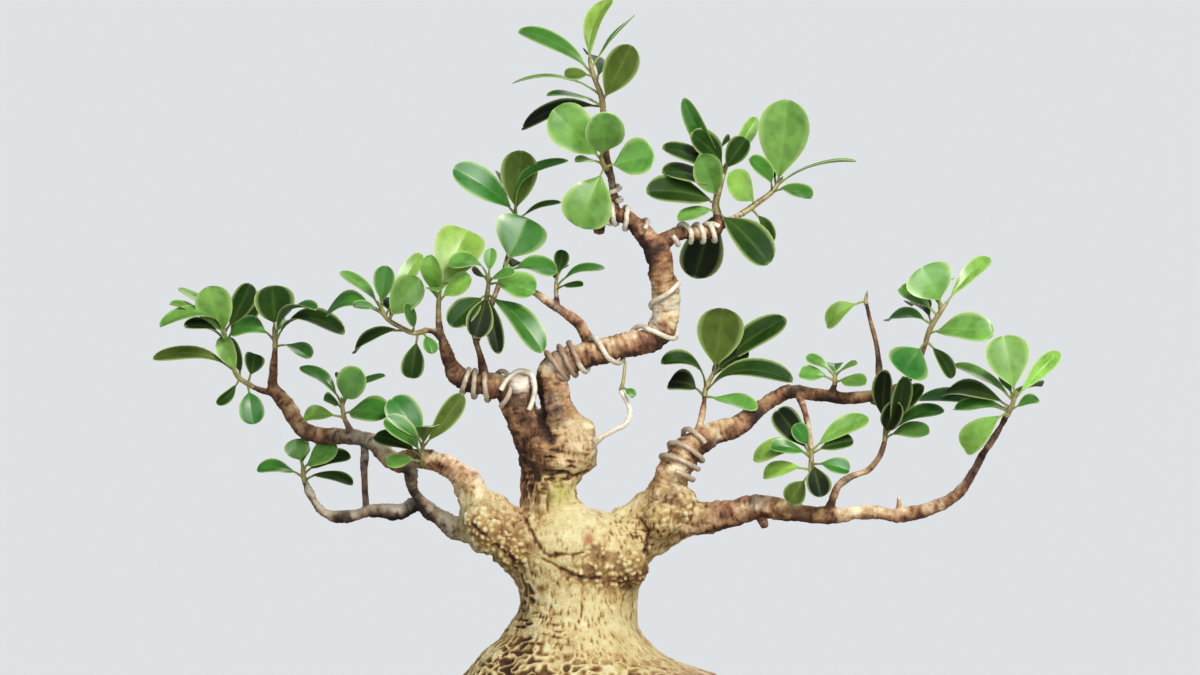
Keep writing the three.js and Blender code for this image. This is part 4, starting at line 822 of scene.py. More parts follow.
CLAY_COLOURS = [(0.3, (0.085, 0.038, 0.022)), (0.5, (0.135, 0.062, 0.036)), (0.7, (0.18, 0.092, 0.055))]
CLAY_SPECK = (0.30, 0.20, 0.13)
LIME_BLOOM = (0.42, 0.36, 0.30)

STONE_COLOURS = [(0.93, (0.34, 0.26, 0.18)), (1.0, (0.46, 0.42, 0.36))]
GRAIN_DARK, GRAIN_PALE = (0.045, 0.026, 0.015), (0.15, 0.085, 0.045)
SOIL_DARK, SOIL_PALE = (0.030, 0.018, 0.011), (0.07, 0.042, 0.024)
MOSS_COLOURS = [(0.3, (0.035, 0.075, 0.012)), (0.55, (0.085, 0.15, 0.022)), (0.8, (0.17, 0.22, 0.04))]
# The dark of painted shade between the moss tufts.
MOSS_HOLLOW_SHADE = (0.02, 0.04, 0.008)
SCREEN_COLOURS = [(0.3, (0.012, 0.014, 0.012)), (0.7, (0.03, 0.034, 0.03))]
FLOOR_COLOURS = [(0.3, (0.55, 0.55, 0.54)), (0.7, (0.59, 0.59, 0.58))]


def bark_paint():
    """Cream bark, browner in its hollows partly by its own colour and partly by painted shade, with painted
    highlight where it stands up and on top; redder on the stems, grey where it has weathered.
    """
    paint = Paint("bark")
    fine = paint.noise(size=1.5, detail=6, rough=0.65)
    grain = paint.maths("MULTIPLY", paint.maths("SUBTRACT", fine, 0.5), BARK_GRAIN)
    shade = paint.maths("ADD", paint.mark("bark_tone_and_painted_light"), grain)
    colour = paint.mix(paint.mark("rust"), paint.ramp(shade, *CREAM_BARK), paint.ramp(shade, *RUSTY_BARK))
    colour = paint.mix(paint.mark("grey"), colour, paint.ramp(shade, *GREY_BARK))
    for stain, stained in BARK_STAINS.items():
        colour = paint.mix(paint.mark(stain), colour, stained)
    return paint.finish(
        Base_Color=colour,
        Roughness=paint.ramp(fine, (0.3, 0.55), (0.7, 0.8)),
        Normal=paint.bump(paint.maths("ADD", fine, paint.cells(size=1.2)), depth=0.3, strength=0.7),
        Specular_IOR_Level=0.35,
    )


def leaf_paint(name, rough_least, rough_most, specular):
    """Leaves with a pale midrib, a paler olive underside and each leaf's own green, and a pale rim that is a
    painted highlight of light catching the edge.
    """
    paint = Paint(name)
    patch = paint.noise(size=9, detail=2)
    fine = paint.noise(size=4, detail=3)
    tint = paint.mark("tint", colour=True)
    light = paint.mix(0.6, tint, tint, "ADD")
    shade = paint.mix(1.0, tint, LEAF_SHADE, "MULTIPLY")
    colour = paint.mix(paint.ramp(patch, (0.3, 0.8), (0.5, 0.0)), tint, shade)
    colour = paint.mix(paint.ramp(patch, (0.45, 0.0), (0.75, 0.7)), colour, light)
    colour = paint.mix(paint.maths("MULTIPLY", paint.mark("ribs"), 0.3), colour, light)
    rib = paint.mix(0.3, light, LEAF_RIB)
    colour = paint.mix(paint.maths("MULTIPLY", paint.mark("vein"), 0.7), colour, rib)
    colour = paint.mix(paint.maths("MULTIPLY", paint.mark("under"), 0.4), colour, LEAF_UNDERSIDE)
    # Painted highlight: the rim and tip are paler, as where light catches the edge.
    colour = paint.mix(paint.mark("rim"), colour, paint.mix(0.75, light, LEAF_RIM_HIGHLIGHT))
    return paint.finish(
        Base_Color=paint.mix(paint.mark("woody"), colour, paint.ramp(fine, *STALK_COLOURS)),
        Roughness=paint.ramp(patch, (0.3, rough_least), (0.7, rough_most)),
        Normal=paint.bump(fine, depth=0.3, strength=0.15),
        Specular_IOR_Level=specular,
    )


def wire_paint():
    """Aluminium wire, weathered pale, with dirt in patches and brown where it is marked so."""
    paint = Paint("wire")
    wear = paint.noise(size=3, detail=4)
    dirt = paint.ramp(paint.noise(size=9, detail=3), (0.55, 0.0), (0.8, 0.4))
    colour = paint.mix(paint.mark("brown"), paint.ramp(wear, *WIRE_METAL), WIRE_BROWN)
    return paint.finish(
        Base_Color=paint.mix(dirt, colour, WIRE_DIRT),
        Roughness=paint.ramp(wear, (0.3, 0.62), (0.7, 0.42)),
        Normal=paint.bump(paint.noise(size=0.8, detail=4), depth=0.1, strength=0.5),
        Metallic=0.2,
    )


def clay_paint():
    """Unglazed clay, a little mottled by the kiln, with a pale bloom of lime low down."""
    paint = Paint("clay")
    fine = paint.noise(size=1.4, detail=6, rough=0.7)
    colour = paint.ramp(paint.noise(size=40, detail=5), *CLAY_COLOURS)
    speck = paint.ramp(paint.cells(size=3.2), (0.10, 1.0), (0.16, 0.0))
    colour = paint.mix(paint.maths("MULTIPLY", speck, 0.45), colour, CLAY_SPECK)
    return paint.finish(
        Base_Color=paint.mix(paint.mark("bloom"), colour, LIME_BLOOM),
        Roughness=paint.ramp(fine, (0.3, 0.66), (0.7, 0.86)),
        Normal=paint.bump(fine, depth=0.3, strength=0.5),
        Specular_IOR_Level=0.35,
    )


def soil_paint(name, dark, pale):
    """Earth in many tones, with a few pale stones."""
    paint = Paint(name)
    fine = paint.noise(size=0.9, detail=5, rough=0.7)
    colour = paint.ramp(paint.mark("tone"), (0.0, dark), (0.6, pale), *STONE_COLOURS)
    return paint.finish(
        Base_Color=paint.mix(paint.ramp(fine, (0.35, 0.7), (0.65, 0.0)), colour, dark),
        Roughness=0.92,
        Normal=paint.bump(fine, depth=0.4, strength=0.7),
        Specular_IOR_Level=0.2,
    )


def moss_paint():
    """Moss with painted shade in the hollows between its tufts."""
    paint = Paint("moss")
    tuft = paint.cells(size=1.0)
    colour = paint.ramp(paint.noise(size=8, detail=3), *MOSS_COLOURS)
    return paint.finish(
        Base_Color=paint.mix(paint.ramp(tuft, (0.1, 0.0), (0.6, 0.6)), colour, MOSS_HOLLOW_SHADE),
        Roughness=0.95,
        Normal=paint.bump(tuft, depth=0.8, strength=0.9),
        Specular_IOR_Level=0.15,
    )


def screen_paint():
    """Dark plastic mesh."""
    paint = Paint("screen")
    fine = paint.noise(size=1.5, detail=4)
    return paint.finish(
        Base_Color=paint.ramp(fine, *SCREEN_COLOURS),
        Roughness=paint.ramp(fine, (0.3, 0.45), (0.7, 0.7)),
        Normal=paint.bump(fine, depth=0.1, strength=0.4),
    )


def floor_paint():
    paint = Paint("floor")
    return paint.finish(Base_Color=paint.ramp(paint.noise(size=90, detail=2), *FLOOR_COLOURS), Roughness=0.9)


# The tree's bark.

# Regions of the bark in tree millimetres, each made of blobs: middle, reach and strength.
REGIONS = {
    # Knobs on both shoulders, with a few behind.
    "knobs": [
        ((-46, -13, 86), (12, 20, 11), 1.7), ((-34, -18, 74), (12, 16, 11), 1.7),
        ((50, -6, 98), (12, 18, 12), 1.53), ((10, -27, 74), (7, 14, 6), 1.53),
        ((12, -28, 63), (20, 14, 6), 1.19), ((28, -22, 65), (10, 16, 9), 1.7),
        ((8, 26, 76), (26, 12, 12), 1.36), ((-30, 26, 40), (18, 20, 16), 1.02),
    ],
    # Curls, mostly at the root flare.
    "curls": [
        ((-36, -26, 21), (26, 30, 12), 1.6), ((0, -44, 12), (52, 26, 9), 1.28),
        ((-22, -14, 57), (9, 16, 8), 1.12), ((50, -6, 98), (15, 20, 15), 0.8),
        ((34, 30, 24), (30, 26, 14), 1.44), ((-20, -8, 112), (9, 16, 14), 1.28),
    ],
    # Folds across the wood.
    "folds": [
        ((-8, -6, 118), (22, 22, 15), 1.35), ((-24, -24, 36), (20, 22, 6), 1.5),
        ((-26, -16, 48), (10, 16, 8), 0.9), ((6, 20, 50), (30, 20, 16), 0.75),
        ((34, -10, 84), (8, 14, 9), 0.9),
    ],
    # Bark with few dashes.
    "bare": [((-4, -20, 92), (20, 30, 12), 0.65), ((30, -30, 34), (18, 30, 22), 0.5)],
    "neck": [((-10, 0, 118), (24, 30, 22), 1.3)],
    "lumpy": [((-10, 0, 118), (24, 26, 20), 1.0)],
    "knot": [((7, -27, 82), (2.8, 8, 3.6), 1.0)],
    "pale_arms": [((-54, -4, 112), (20, 16, 14), 1.0), ((8, -10, 134), (14, 16, 12), 0.8)],
    "lichen": [((-109, 0, 130), (13, 30, 9), 1.5)],
    "algae": [((-7, -16, 104), (6, 14, 5), 0.6)],
    # The pale face of the cut stub.
    "cut_face": [((-27, -11, 160), (4.6, 5, 4.2), 1.6)],
}
# The thick wood lies below this height and this near the tree's middle, and gives way to slim stems
# over the widths given.
THICK_TOP, THICK_TOP_FADE = 118, 24
THICK_MIDDLE, THICK_REACH, THICK_REACH_FADE = 2, 70, 14
# How much the knobs take away from curls and folds, and all of these from the smooth bark.
CURLS_LOST, FOLDS_LOST, SMOOTH_LOST = 0.7, 0.6, 0.85
# Stems of this radius and more carry their bark's raised and sunk patterns in full, and slim ones at least
# this share.
FULL_RELIEF_RADIUS, LEAST_RELIEF = 5, 0.3
# The x at which the pale end of the bud twig begins, and over how much it comes in.
BUD_START, BUD_FADE = 9, 2
# The cut face is on the points that face the front at least this much.
FACING_FRONT = -0.2
GREY_STEMS = ("lower_left", "gnarled_twig", "hanging_twig")

# Old cuts and creases on the front: x and z along each.
CREASES = [
    [(-25, 93), (-19.5, 82.5), (-15.7, 74.8), (-13, 74), (-2, 74.3), (3.5, 75.8)],
    [(-15.7, 72.3), (-8, 67.7), (1, 63.5), (12, 62.3)],
    [(-52.5, 90.7), (-43.5, 83), (-35.5, 76), (-29.5, 70)],
    [(32.6, 93), (36.5, 85.4), (35.7, 76)],
    [(-13.4, 105), (-13.4, 96)],
    [(-15.4, 115.5), (-6.2, 115.5), (1, 113.5), (6, 115.5)],
]
# The cleft between the two stems that leave the neck: redder bark, darkened with painted shade.
CLEFT = [(-19.5, 163), (-18, 150), (-16, 139), (-11.3, 131)]
CREASE_WIDTH, CLEFT_WIDTH = 0.75, 2.0
# Both fade out this near the tree's middle plane, so that the back has none.
FRONT_FADE = 6

# The bark's noises: size of the lumps in millimetres, and seed.
BARK_NOISES = {
    "swells": (15, 81), "half_swells": (8, 82), "lumps": (4.6, 83), "pimples": (2.2, 91),
    "stem_lumps": (4.2, 92), "stem_patches": (9, 93), "rust": (18, 94), "weather": (9, 95),
    "grey_patches": (10, 96), "mottle": (3, 97), "stem_mottle": (3, 98), "ring_shift": (5, 61),
}
WARP, LINE_WARP, WORMS = (4.5, 31), (4, 71), (3.6, 37)
# How far the warp shifts humps, worms, lines and the flow of the bark.
HUMP_SHIFT, WORM_SHIFT, LINE_SHIFT, FLOW_SHIFT = 1.1, 1.6, 0.7, 0.35
WORM_NARROWNESS = 2.4
# Humps: size of a cell, seed, radius, and the height of the lowest as a share of the highest.
DOMES = (3.0, 11, 1.68, 0.45)
MOUNDS = (5.2, 23, 3.64, 0.3)
# Streaks: size of a cell, seed, and half the length and width of one.
DASHES = (2.7, 41, 2.7, 0.85)
NICKS = (1.9, 141, 1.3, 0.6)
WRINKLES = (3.4, 241, 4.4, 1.0)
# The share of the cells that have a streak. Wrinkles are more frequent on the trunk.
DASH_SHARE, NICK_SHARE, TRUNK_WRINKLE_SHARE, STEM_WRINKLE_SHARE = 0.8, 0.55, 0.9, 0.5
RING_GAP, RING_SHIFT = 2.6, 4

# What the bark is made of: for each region and each pattern on it, its height in millimetres and how much it
# lightens the bark. A pattern that raises the bark mostly lightens it, and one that sinks it darkens it.
# This is partly the bark's own colour, and partly painted highlight on what stands up and painted shade in
# hollows, creases and the cleft.
BARK_LAYERS = {
    "knobs": {"domes": (1.6, 0.64), "mounds": (0.7, 0.1), "even": (-0.8, -0.4)},
    "curls": {"worms": (1.2, 0.72), "even": (-0.6, -0.56)},
    "folds": {"wrinkles": (-1.1, -1.15)},
    "smooth": {"dashes": (-0.75, -0.62), "nicks": (-0.4, -0.4)},
    "lumpy": {"lumps": (0.9, 0)},
    "trunk": {"swells": (0.9, 0.09), "pimples": (0.2, 0)},
    "even": {"creases": (-0.7, -0.42), "cleft": (-2.2, -0.6), "knot": (1.2, 0), "mottle": (0, 0.14)},
    "stout": {"rings": (0.18, 0), "stem_lumps": (0.6, 0), "dashes": (-0.4, 0), "wrinkles": (-0.6, 0)},
    "slim": {
        "even": (0, -0.3), "rings": (0, 0.05), "stem_patches": (0, 0.34), "stem_mottle": (0, 0.16),
        # Painted light: the stems are lighter where they face up and to the right, and darker beneath.
        "dashes": (0, -0.12), "wrinkles": (0, -0.34), "pale_arms": (0, 0.4), "painted_top_light": (0, 0.2),
        "painted_right_light": (0, 0.04),
    },
    # Painted light on the tops of the grey stems and the lichen, and painted shade beneath.
    "weathered": {"even": (0, 0.07), "painted_top_light": (0, 0.22)},
    "lichen": {"even": (0, 0.1), "painted_top_light": (0, 0.2)},
}
# The tone of the bark before its layers.
BARK_TONE = 0.74
# How a colour grows with its pattern: its strength where the pattern is 0, and the pattern's factor.
STEM_RUST, WEATHERED_GREY, PATCHY_GREY, KNOT_RED = (0.8, 0.35), (0.7, 0.5), (-0.3, 1.6), (-0.6, 2)
MOST_PATCHY_GREY, MOST_KNOT_RED = 0.5, 0.85
CLEFT_RUST, LICHEN_GREY = 0.8, 0.8
# Straight up, with a trace to the right for level places.
UPWARD = np.array([1e-4, 0, 1])
# Blobs where the bark of a region is lighter or darker.
SHADES = {
    # The neck is darker on its left and where its stems part: browner bark and painted shade.
    "even": [
        ((-6, -10, 128), (24, 24, 16), -0.1), ((-24, -6, 126), (11, 22, 20), -0.22),
        ((-26, -6, 140), (10, 22, 14), -0.2), ((-10, -8, 141), (12, 20, 14), -0.12),
    ],
    "trunk": [((44, -24, 52), (24, 30, 40), -0.1), ((0, 0, 8), (90, 80, 26), -0.08)],
    "slim": [
        ((41, 0, 203), (16, 60, 13), 0.34), ((36, 0, 226), (16, 60, 12), -0.12),
        ((122, 0, 96), (74, 30, 13), 0.16), ((-62, -2, 170), (14, 20, 20), -0.2),
        ((122, 0, 152), (28, 30, 10), -0.14), ((-3, 0, 189), (16, 40, 14), 0.2),
    ],
    "weathered": [((-62, 14, 91), (12, 20, 12), 0.12)],
}
# Blobs on the trunk where the bark is as red as on the stems.
RUSTY = [
    ((-28, -8, 112), (9, 16, 24), 1.0), ((62, -6, 84), (14, 24, 9), 0.9),
    ((66, -10, 10), (20, 60, 14), 0.7), ((-4, -10, 130), (26, 26, 16), 0.6),
]


def near_line(flat, line, width):
    """1 on a line of the flat drawing of the tree, falling off to 0 beside it."""
    nearest = np.full(len(flat), FAR_AWAY)
    for start, end in zip(line, line[1:]):
        start, end = np.array(start), np.array(end)
        run = end - start
        share = np.clip((flat - start) @ run / (run @ run), 0, 1)
        nearest = np.minimum(nearest, np.linalg.norm(flat - start - share[:, None] * run, axis=1))
    return np.exp(-((nearest / width) ** 2))


def stem_nearness(points):
    """For each point, the stem whose middle line is nearest, as its place in STEMS, how far along
    that stem it is in millimetres, the stem's radius there, and its direction."""
    lines = []
    for index, rows in enumerate(STEMS.values()):
        path, radii = stem_path(rows, STEM_STEPS)
        along = sides_along(path)[0]
        lines.append(np.column_stack([path, np.full(len(path), index), run_along(path), radii, along]))
    lines = np.concatenate(lines)
    finder = KDTree(len(lines))
    for index, row in enumerate(lines):
        finder.insert(row[:3], index)
    finder.balance()
    nearest = lines[[finder.find(point)[1] for point in points]]
    return nearest[:, 3].astype(int), nearest[:, 4], nearest[:, 5], nearest[:, 6:]


def uphill(normals):
    """The steepest way up along the surface at each point, or to the right where that is level."""
    return unit(UPWARD - normals[:, 2:] * normals)


def humps(points, size, seed, radius, lowest):
    """Round humps of different heights, one to a cell."""
    away, number = scattered(points, size, seed)
    return np.clip(1 - (away / radius) ** 2, 0, 1) * (lowest + (1 - lowest) * number)


def graded(pattern, start, factor):
    """A pattern times a factor, on top of a start."""
    return start + factor * pattern


def bark_regions(points, normals, stem, girth):
    """How far each point lies in each region of the bark, from 0 to 1."""
    made = {name: np.clip(blobs(points, region), 0, 1) for name, region in REGIONS.items()}
    low = np.clip((THICK_TOP - points[:, 2]) / THICK_TOP_FADE, 0, 1)
    reach = np.abs(points[:, 0] - THICK_MIDDLE)
    thick = low * np.clip((THICK_REACH - reach) / THICK_REACH_FADE, 0, 1)
    trunk = np.maximum(thick, made["neck"])
    slim = 1 - trunk
    names = list(STEMS)
    made["even"] = np.ones(len(points))
    made["trunk"], made["slim"] = trunk, slim
    made["stout"] = slim * np.clip(girth / FULL_RELIEF_RADIUS, LEAST_RELIEF, 1)
    made["knobs"] *= trunk
    made["curls"] *= trunk * (1 - CURLS_LOST * made["knobs"])
    made["folds"] *= trunk * (1 - FOLDS_LOST * made["knobs"])
    made["smooth"] = trunk * (1 - SMOOTH_LOST * np.maximum(made["knobs"], made["curls"]))
    made["smooth"] *= 1 - made["bare"]
    made["lumpy"] *= trunk
    made["lichen"] *= slim
    made["weathered"] = np.isin(stem, [names.index(name) for name in GREY_STEMS]) * slim
    bud_end = np.clip((points[:, 0] - BUD_START) / BUD_FADE, 0, 1)
    made["pale_twig"] = (stem == names.index("bud_twig")) * slim * bud_end
    made["cut_face"] *= normals[:, 1] < FACING_FRONT
    return made


def bark_patterns(points, normals, regions, run, direction):
    """The patterns of the bark, each a number at every point."""
    made = {name: noise(points, *settings) for name, settings in BARK_NOISES.items()}
    trunk, slim = regions["trunk"], regions["slim"]
    warp = noise_in_space(points, *WARP)
    flow = unit(np.where(slim[:, None] > 0.5, direction, uphill(normals) + FLOW_SHIFT * warp))
    wrinkle_share = TRUNK_WRINKLE_SHARE * trunk + STEM_WRINKLE_SHARE * slim
    made["swells"] += 0.5 * made["half_swells"]
    made["domes"] = humps(points + HUMP_SHIFT * warp, *DOMES)
    made["mounds"] = humps(points + HUMP_SHIFT * warp, *MOUNDS)
    lines = np.abs(noise(points + WORM_SHIFT * warp, *WORMS))
    made["worms"] = 1 - np.clip(WORM_NARROWNESS * lines, 0, 1)
    made["dashes"] = streaks(points, flow, *DASHES, DASH_SHARE)
    made["nicks"] = streaks(points, flow, *NICKS, NICK_SHARE)
    made["wrinkles"] = streaks(points, np.cross(flow, normals), *WRINKLES, wrinkle_share)
    made["rings"] = np.sin(TURN * run / RING_GAP + RING_SHIFT * made["ring_shift"])
    flat = points[:, [0, 2]] + LINE_SHIFT * noise_in_space(points, *LINE_WARP, axes=2)
    front = np.clip(-points[:, 1] / FRONT_FADE, 0, 1)
    made["creases"] = np.max([near_line(flat, line, CREASE_WIDTH) for line in CREASES], axis=0) * front
    made["cleft"] = near_line(flat, CLEFT, CLEFT_WIDTH) * front
    # Painted light and shade: how much the surface faces right and up lightens its top and right side and
    # darkens its underside.
    made["painted_right_light"], made["painted_top_light"] = normals[:, 0], normals[:, 2]
    for name in ("even", "knot", "pale_arms"):
        made[name] = regions[name]
    return made


def bark(data):
    """Raises the bark's surface, and marks each point with its tone, painted light and shade included, and
    its colours.
    """
    points, normals = mesh_points(data), vertex_values(data, "normal")
    stem, run, girth, direction = stem_nearness(points)
    regions = bark_regions(points, normals, stem, girth)
    patterns = bark_patterns(points, normals, regions, run, direction)
    height, tone = np.zeros(len(points)), np.full(len(points), BARK_TONE)
    for region, layers in BARK_LAYERS.items():
        for pattern, (high, light) in layers.items():
            layer = regions[region] * patterns[pattern]
            height += high * layer
            tone += light * layer
    for region, shades in SHADES.items():
        tone += regions[region] * blobs(points, shades)

    rust = [strength * blob(points, middle, reach) for middle, reach, strength in RUSTY]
    rust += [regions["slim"] * graded(patterns["rust"], *STEM_RUST), CLEFT_RUST * patterns["cleft"]]
    grey = [
        regions["weathered"] * graded(patterns["weather"], *WEATHERED_GREY),
        regions["slim"] * np.clip(graded(patterns["grey_patches"], *PATCHY_GREY), 0, MOST_PATCHY_GREY),
        regions["lichen"] * LICHEN_GREY,
    ]
    marks = {
        "bark_tone_and_painted_light": tone,
        "rust": np.max(rust, axis=0),
        "grey": np.max(grey, axis=0),
        "algae": regions["algae"],
        "cut": np.maximum(regions["cut_face"], regions["pale_twig"]),
        "knot": np.minimum(graded(regions["knot"], *KNOT_RED), MOST_KNOT_RED),
    }
    for name, values in marks.items():
        set_mark(data, name, np.clip(values, 0, 1))
    data.vertices.foreach_set("co", ((points + normals * height[:, None] + ORIGIN) * MM).ravel())
    data.update()


# The tree's wood.

# Stems of more than this radius have more sides.
STOUT_RADIUS = 6
STOUT_SIDES, SLENDER_SIDES = 28, 18
TRUNK_SIDES, TRUNK_STEPS = 96, 8
BALL_SIDES, BALL_LEVELS = 20, 12
# The rounded end of the cut stub: its place and radius.
STUB_KNOB = [-28.3, -5.5, 158, 6.3]
# How much rougher than the others some stems are.
GNARLED = {
    "lower_left": 2.3, "gnarled_twig": 2.4, "hanging_twig": 1.4, "right_low_arm": 1.3, "left_arm": 1.3,
}
# How uneven a stem's radius is: the size of its lumps, and how much of the radius they add.
STEM_LUMPS = [(7, 0.12), (3.6, 0.09)]
WRINKLE_GAP, WRINKLE_SHIFT, WRINKLE_HEIGHT = 2.7, 2.5, 0.028
# The size of the noise that shifts the wrinkles, and of the one that fades them in places.
SHIFT_SIZE, FADE_SIZE = 6, 11
SKIN_VOXEL, QUICK_SKIN_VOXEL = 0.64, 1.0
SKIN_SMOOTHING = 3
TREE_TRIANGLES = 197000


def trunk_rings():
    """The trunk's own form: levels, fluting and the ridges of its roots, in fine steps."""
    levels = np.array([spans([row[column] for row in TRUNK_LEVELS], TRUNK_STEPS) for column in range(4)]).T
    cosines, sines = around(TRUNK_SIDES)
    angles = TURN * np.arange(TRUNK_SIDES) / TRUNK_SIDES
    rings = []
    for index, (height, middle, half_width, half_depth) in enumerate(levels):
        near_roots = min(max(1 - height / ROOT_RIDGE_HEIGHT, 0), 1)
        share = 1 + TRUNK_WOBBLE * np.sin(TRUNK_FLUTES * angles + TRUNK_TWIST * index / TRUNK_STEPS)
        for bearing, strength, half in ROOT_RIDGES:
            turned = np.abs(np.degrees(angles) - bearing)
            away = np.minimum(turned, 360 - turned) / half
            share = share + strength * near_roots * np.exp(-away * away)
        rings.append(np.stack([
            middle + half_width * share * cosines,
            half_depth * share * sines,
            np.full(TRUNK_SIDES, height),
        ], axis=1))
    return rings


def ball(x, y, z, radius):
    """A round lump."""
    tilts = math.pi * np.arange(1, BALL_LEVELS) / BALL_LEVELS
    return loft([
        ring(x, y, z - radius * math.cos(tilt), radius * math.sin(tilt), BALL_SIDES) for tilt in tilts
    ])


def stem_swell(seed, gnarl):
    """Makes a tube's radius uneven, with lumps and with wrinkles across it."""
    def swell(points, run):
        lumps = sum(high * noise(points, size, seed + step) for step, (size, high) in enumerate(STEM_LUMPS))
        phase = TURN * run / WRINKLE_GAP + WRINKLE_SHIFT * noise(points, SHIFT_SIZE, seed + 2)
        wrinkles = WRINKLE_HEIGHT * np.sin(phase) * (0.5 + 0.5 * noise(points, FADE_SIZE, seed + 3))
        return 1 + gnarl * (lumps + wrinkles)
    return swell


def tree_mesh():
    """Trunk, burls and stems under one skin of bark."""
    shape = Shape()
    shape.add(*loft(trunk_rings()))
    for burl in BURLS + [STUB_KNOB]:
        shape.add(*ball(*burl))
    for index, (name, rows) in enumerate(STEMS.items()):
        path, radii = stem_path(rows, STEM_STEPS)
        sides = STOUT_SIDES if max(radii) > STOUT_RADIUS else SLENDER_SIDES
        shape.add(*tube(path, radii, sides, stem_swell(10 * index, GNARLED.get(name, 1.0))))
    voxel = SKIN_VOXEL
    skin = remeshed(shape.mesh("tree_skin"), voxel, SKIN_SMOOTHING)
    bark(skin)
    return thinned(skin, TREE_TRIANGLES)


# Leaves.

# Places along a blade from 0 to 1, as rows, and across it from -1 to 1, as columns.
BLADE_ROWS = 16
ROWS = (1 - np.cos(math.pi * np.linspace(0, 1, BLADE_ROWS)))[:, None] / 2
COLUMNS = np.array([[-1, -0.93, -0.74, -0.45, -0.2, -0.06, 0, 0.06, 0.2, 0.45, 0.74, 0.93, 1]])
GRID = np.arange(ROWS.size * COLUMNS.size).reshape(ROWS.size, COLUMNS.size)
# Half width of a blade from its base to its tip, as a share of its widest half.
BLADE_PLACES = [0, 0.05, 0.1, 0.2, 0.3, 0.45, 0.6, 0.7, 0.8, 0.88, 0.94, 0.98, 1]
BLADE_HALVES = [0.07, 0.15, 0.26, 0.48, 0.68, 0.88, 0.99, 1, 0.94, 0.81, 0.61, 0.37, 0.1]
BLADE_THICKNESS = 0.5
EDGE_THINNING = 0.55
# The groove of the midrib on top: how deep at the base, and its width as a share of the half.
GROOVE_DEPTH, GROOVE_WIDTH = 0.22, 0.12
# The pale midrib's width at the base, how much it narrows to the tip, and how much it fades there.
MIDRIB_WIDTH, MIDRIB_NARROWING, MIDRIB_FADING = 0.10, 0.055, 0.72
# How pale a whole blade is at its foot, and how fast that fades.
FOOT_PALENESS, FOOT_FADING = 0.6, 3
SIDE_RIBS, RIB_SLANT = 40, 9
# The least and the most that chance gives each leaf.
BRIGHTNESS, REDNESS = (0.89, 1.11), (0.85, 1.15)
FOLD, WAVE, WAVE_PHASE, TWIST = (0.05, 0.18), (0.03, 0.06), (0, 6.3), (-0.125, 0.125)
WAVE_COUNT, TWIST_PLACE, FOLD_CURVE = 7, 0.4, 1.3
# The pale rim, a painted highlight on the edge, from the edge inwards and at the tip: places, and how pale.
RIM_ACROSS, RIM_AT_TIP = ([0.92, 0.93, 1], [0, 0.5, 0.95]), ([0.985, 1], [0, 0.95])
STALK_ROWS, STALK_SIDES = 5, 6
STALK_RADII = (0.75, 0.5)
# How far a stalk runs into its blade, as a share of the leaf.
STALK_OVERLAP = 0.03
# Greens of single leaves, in linear colour: e emerald, k nearly black, d dark, m middle, b bright, y
# yellow-green, o olive. The nearly black and dark greens are painted shade, for leaves in the shade of
# others.
TINTS = {
    "e": (0.020, 0.130, 0.012),
    "k": (0.004, 0.009, 0.002),
    "d": (0.012, 0.038, 0.004),
    "m": (0.036, 0.140, 0.015),
    "b": (0.110, 0.262, 0.042),
    "y": (0.20, 0.36, 0.055),
    "o": (0.068, 0.105, 0.015),
}
# The greens of leaves in shade, which are dull; the nearly black and dark ones are painted shade.
DULL_TONES = "kdo"
NO_MARKS = {"vein": 0, "under": 0, "rim": 0, "woody": 0, "ribs": 0, "dull": 0}
STALK_MARKS = {**NO_MARKS, "vein": 0.9, "woody": 0.55}
SHOOT_MARKS = {**NO_MARKS, "tint": TINTS["m"], "woody": 1}
BUD_MARKS = {**NO_MARKS, "tint": TINTS["b"], "woody": 0.25}

LEAF_SEED = 17

SHOOT_STEPS, SHOOT_SIDES, CARRIER_STEPS = 8, 10, 4
SHOOT_SEED, SHOOT_GNARL = 7, 1.2
# How deep a shoot starts inside the stem that carries it.
SHOOT_DEPTH = 0.4
BUD_LENGTH, BUD_SIDES = 3.2, 8
BUD_GIRTHS = [0.9, 0.85, 0.6, 0.3, 0.06]


def blade_faces():
    """The faces of a closed blade: its top, its underside, and the strip round its edge."""
    faces = []
    for row in range(ROWS.size - 1):
        for column in range(COLUMNS.size - 1):
            near, far = GRID[row, column : column + 2], GRID[row + 1, column : column + 2]
            quad = [near[0], far[0], far[1], near[1]]
            faces += [quad[::-1], [GRID.size + index for index in quad]]
    edge = [*GRID[:, 0], *GRID[-1, 1:], *GRID[-2::-1, -1], *GRID[0, -2:0:-1]]
    for here, there in zip(edge, edge[1:] + edge[:1]):
        faces.append([here, there, GRID.size + there, GRID.size + here])
    return np.array(faces).tolist()


def blade_marks():
    """How strongly each point of a blade, top and then underside, shows its veins and its rim, which is a
    painted highlight.
    """
    midrib = np.exp(-((COLUMNS / (MIDRIB_WIDTH - MIDRIB_NARROWING * ROWS)) ** 2))
    marks = {
        "vein": np.maximum(midrib * (1 - MIDRIB_FADING * ROWS), FOOT_PALENESS * (1 - ROWS) ** FOOT_FADING),
        "rim": np.maximum(
            np.interp(np.abs(COLUMNS), *RIM_ACROSS),
            np.interp(ROWS, *RIM_AT_TIP),
        ),
        "ribs": 0.5 + 0.5 * np.sin(SIDE_RIBS * ROWS - RIB_SLANT * np.abs(COLUMNS)),
    }
    marks = {name: np.tile(values.ravel(), 2) for name, values in marks.items()}
    return {**NO_MARKS, **marks, "under": np.repeat([0, 1], GRID.size)}


BLADE_FACES, BLADE_MARKS = blade_faces(), blade_marks()


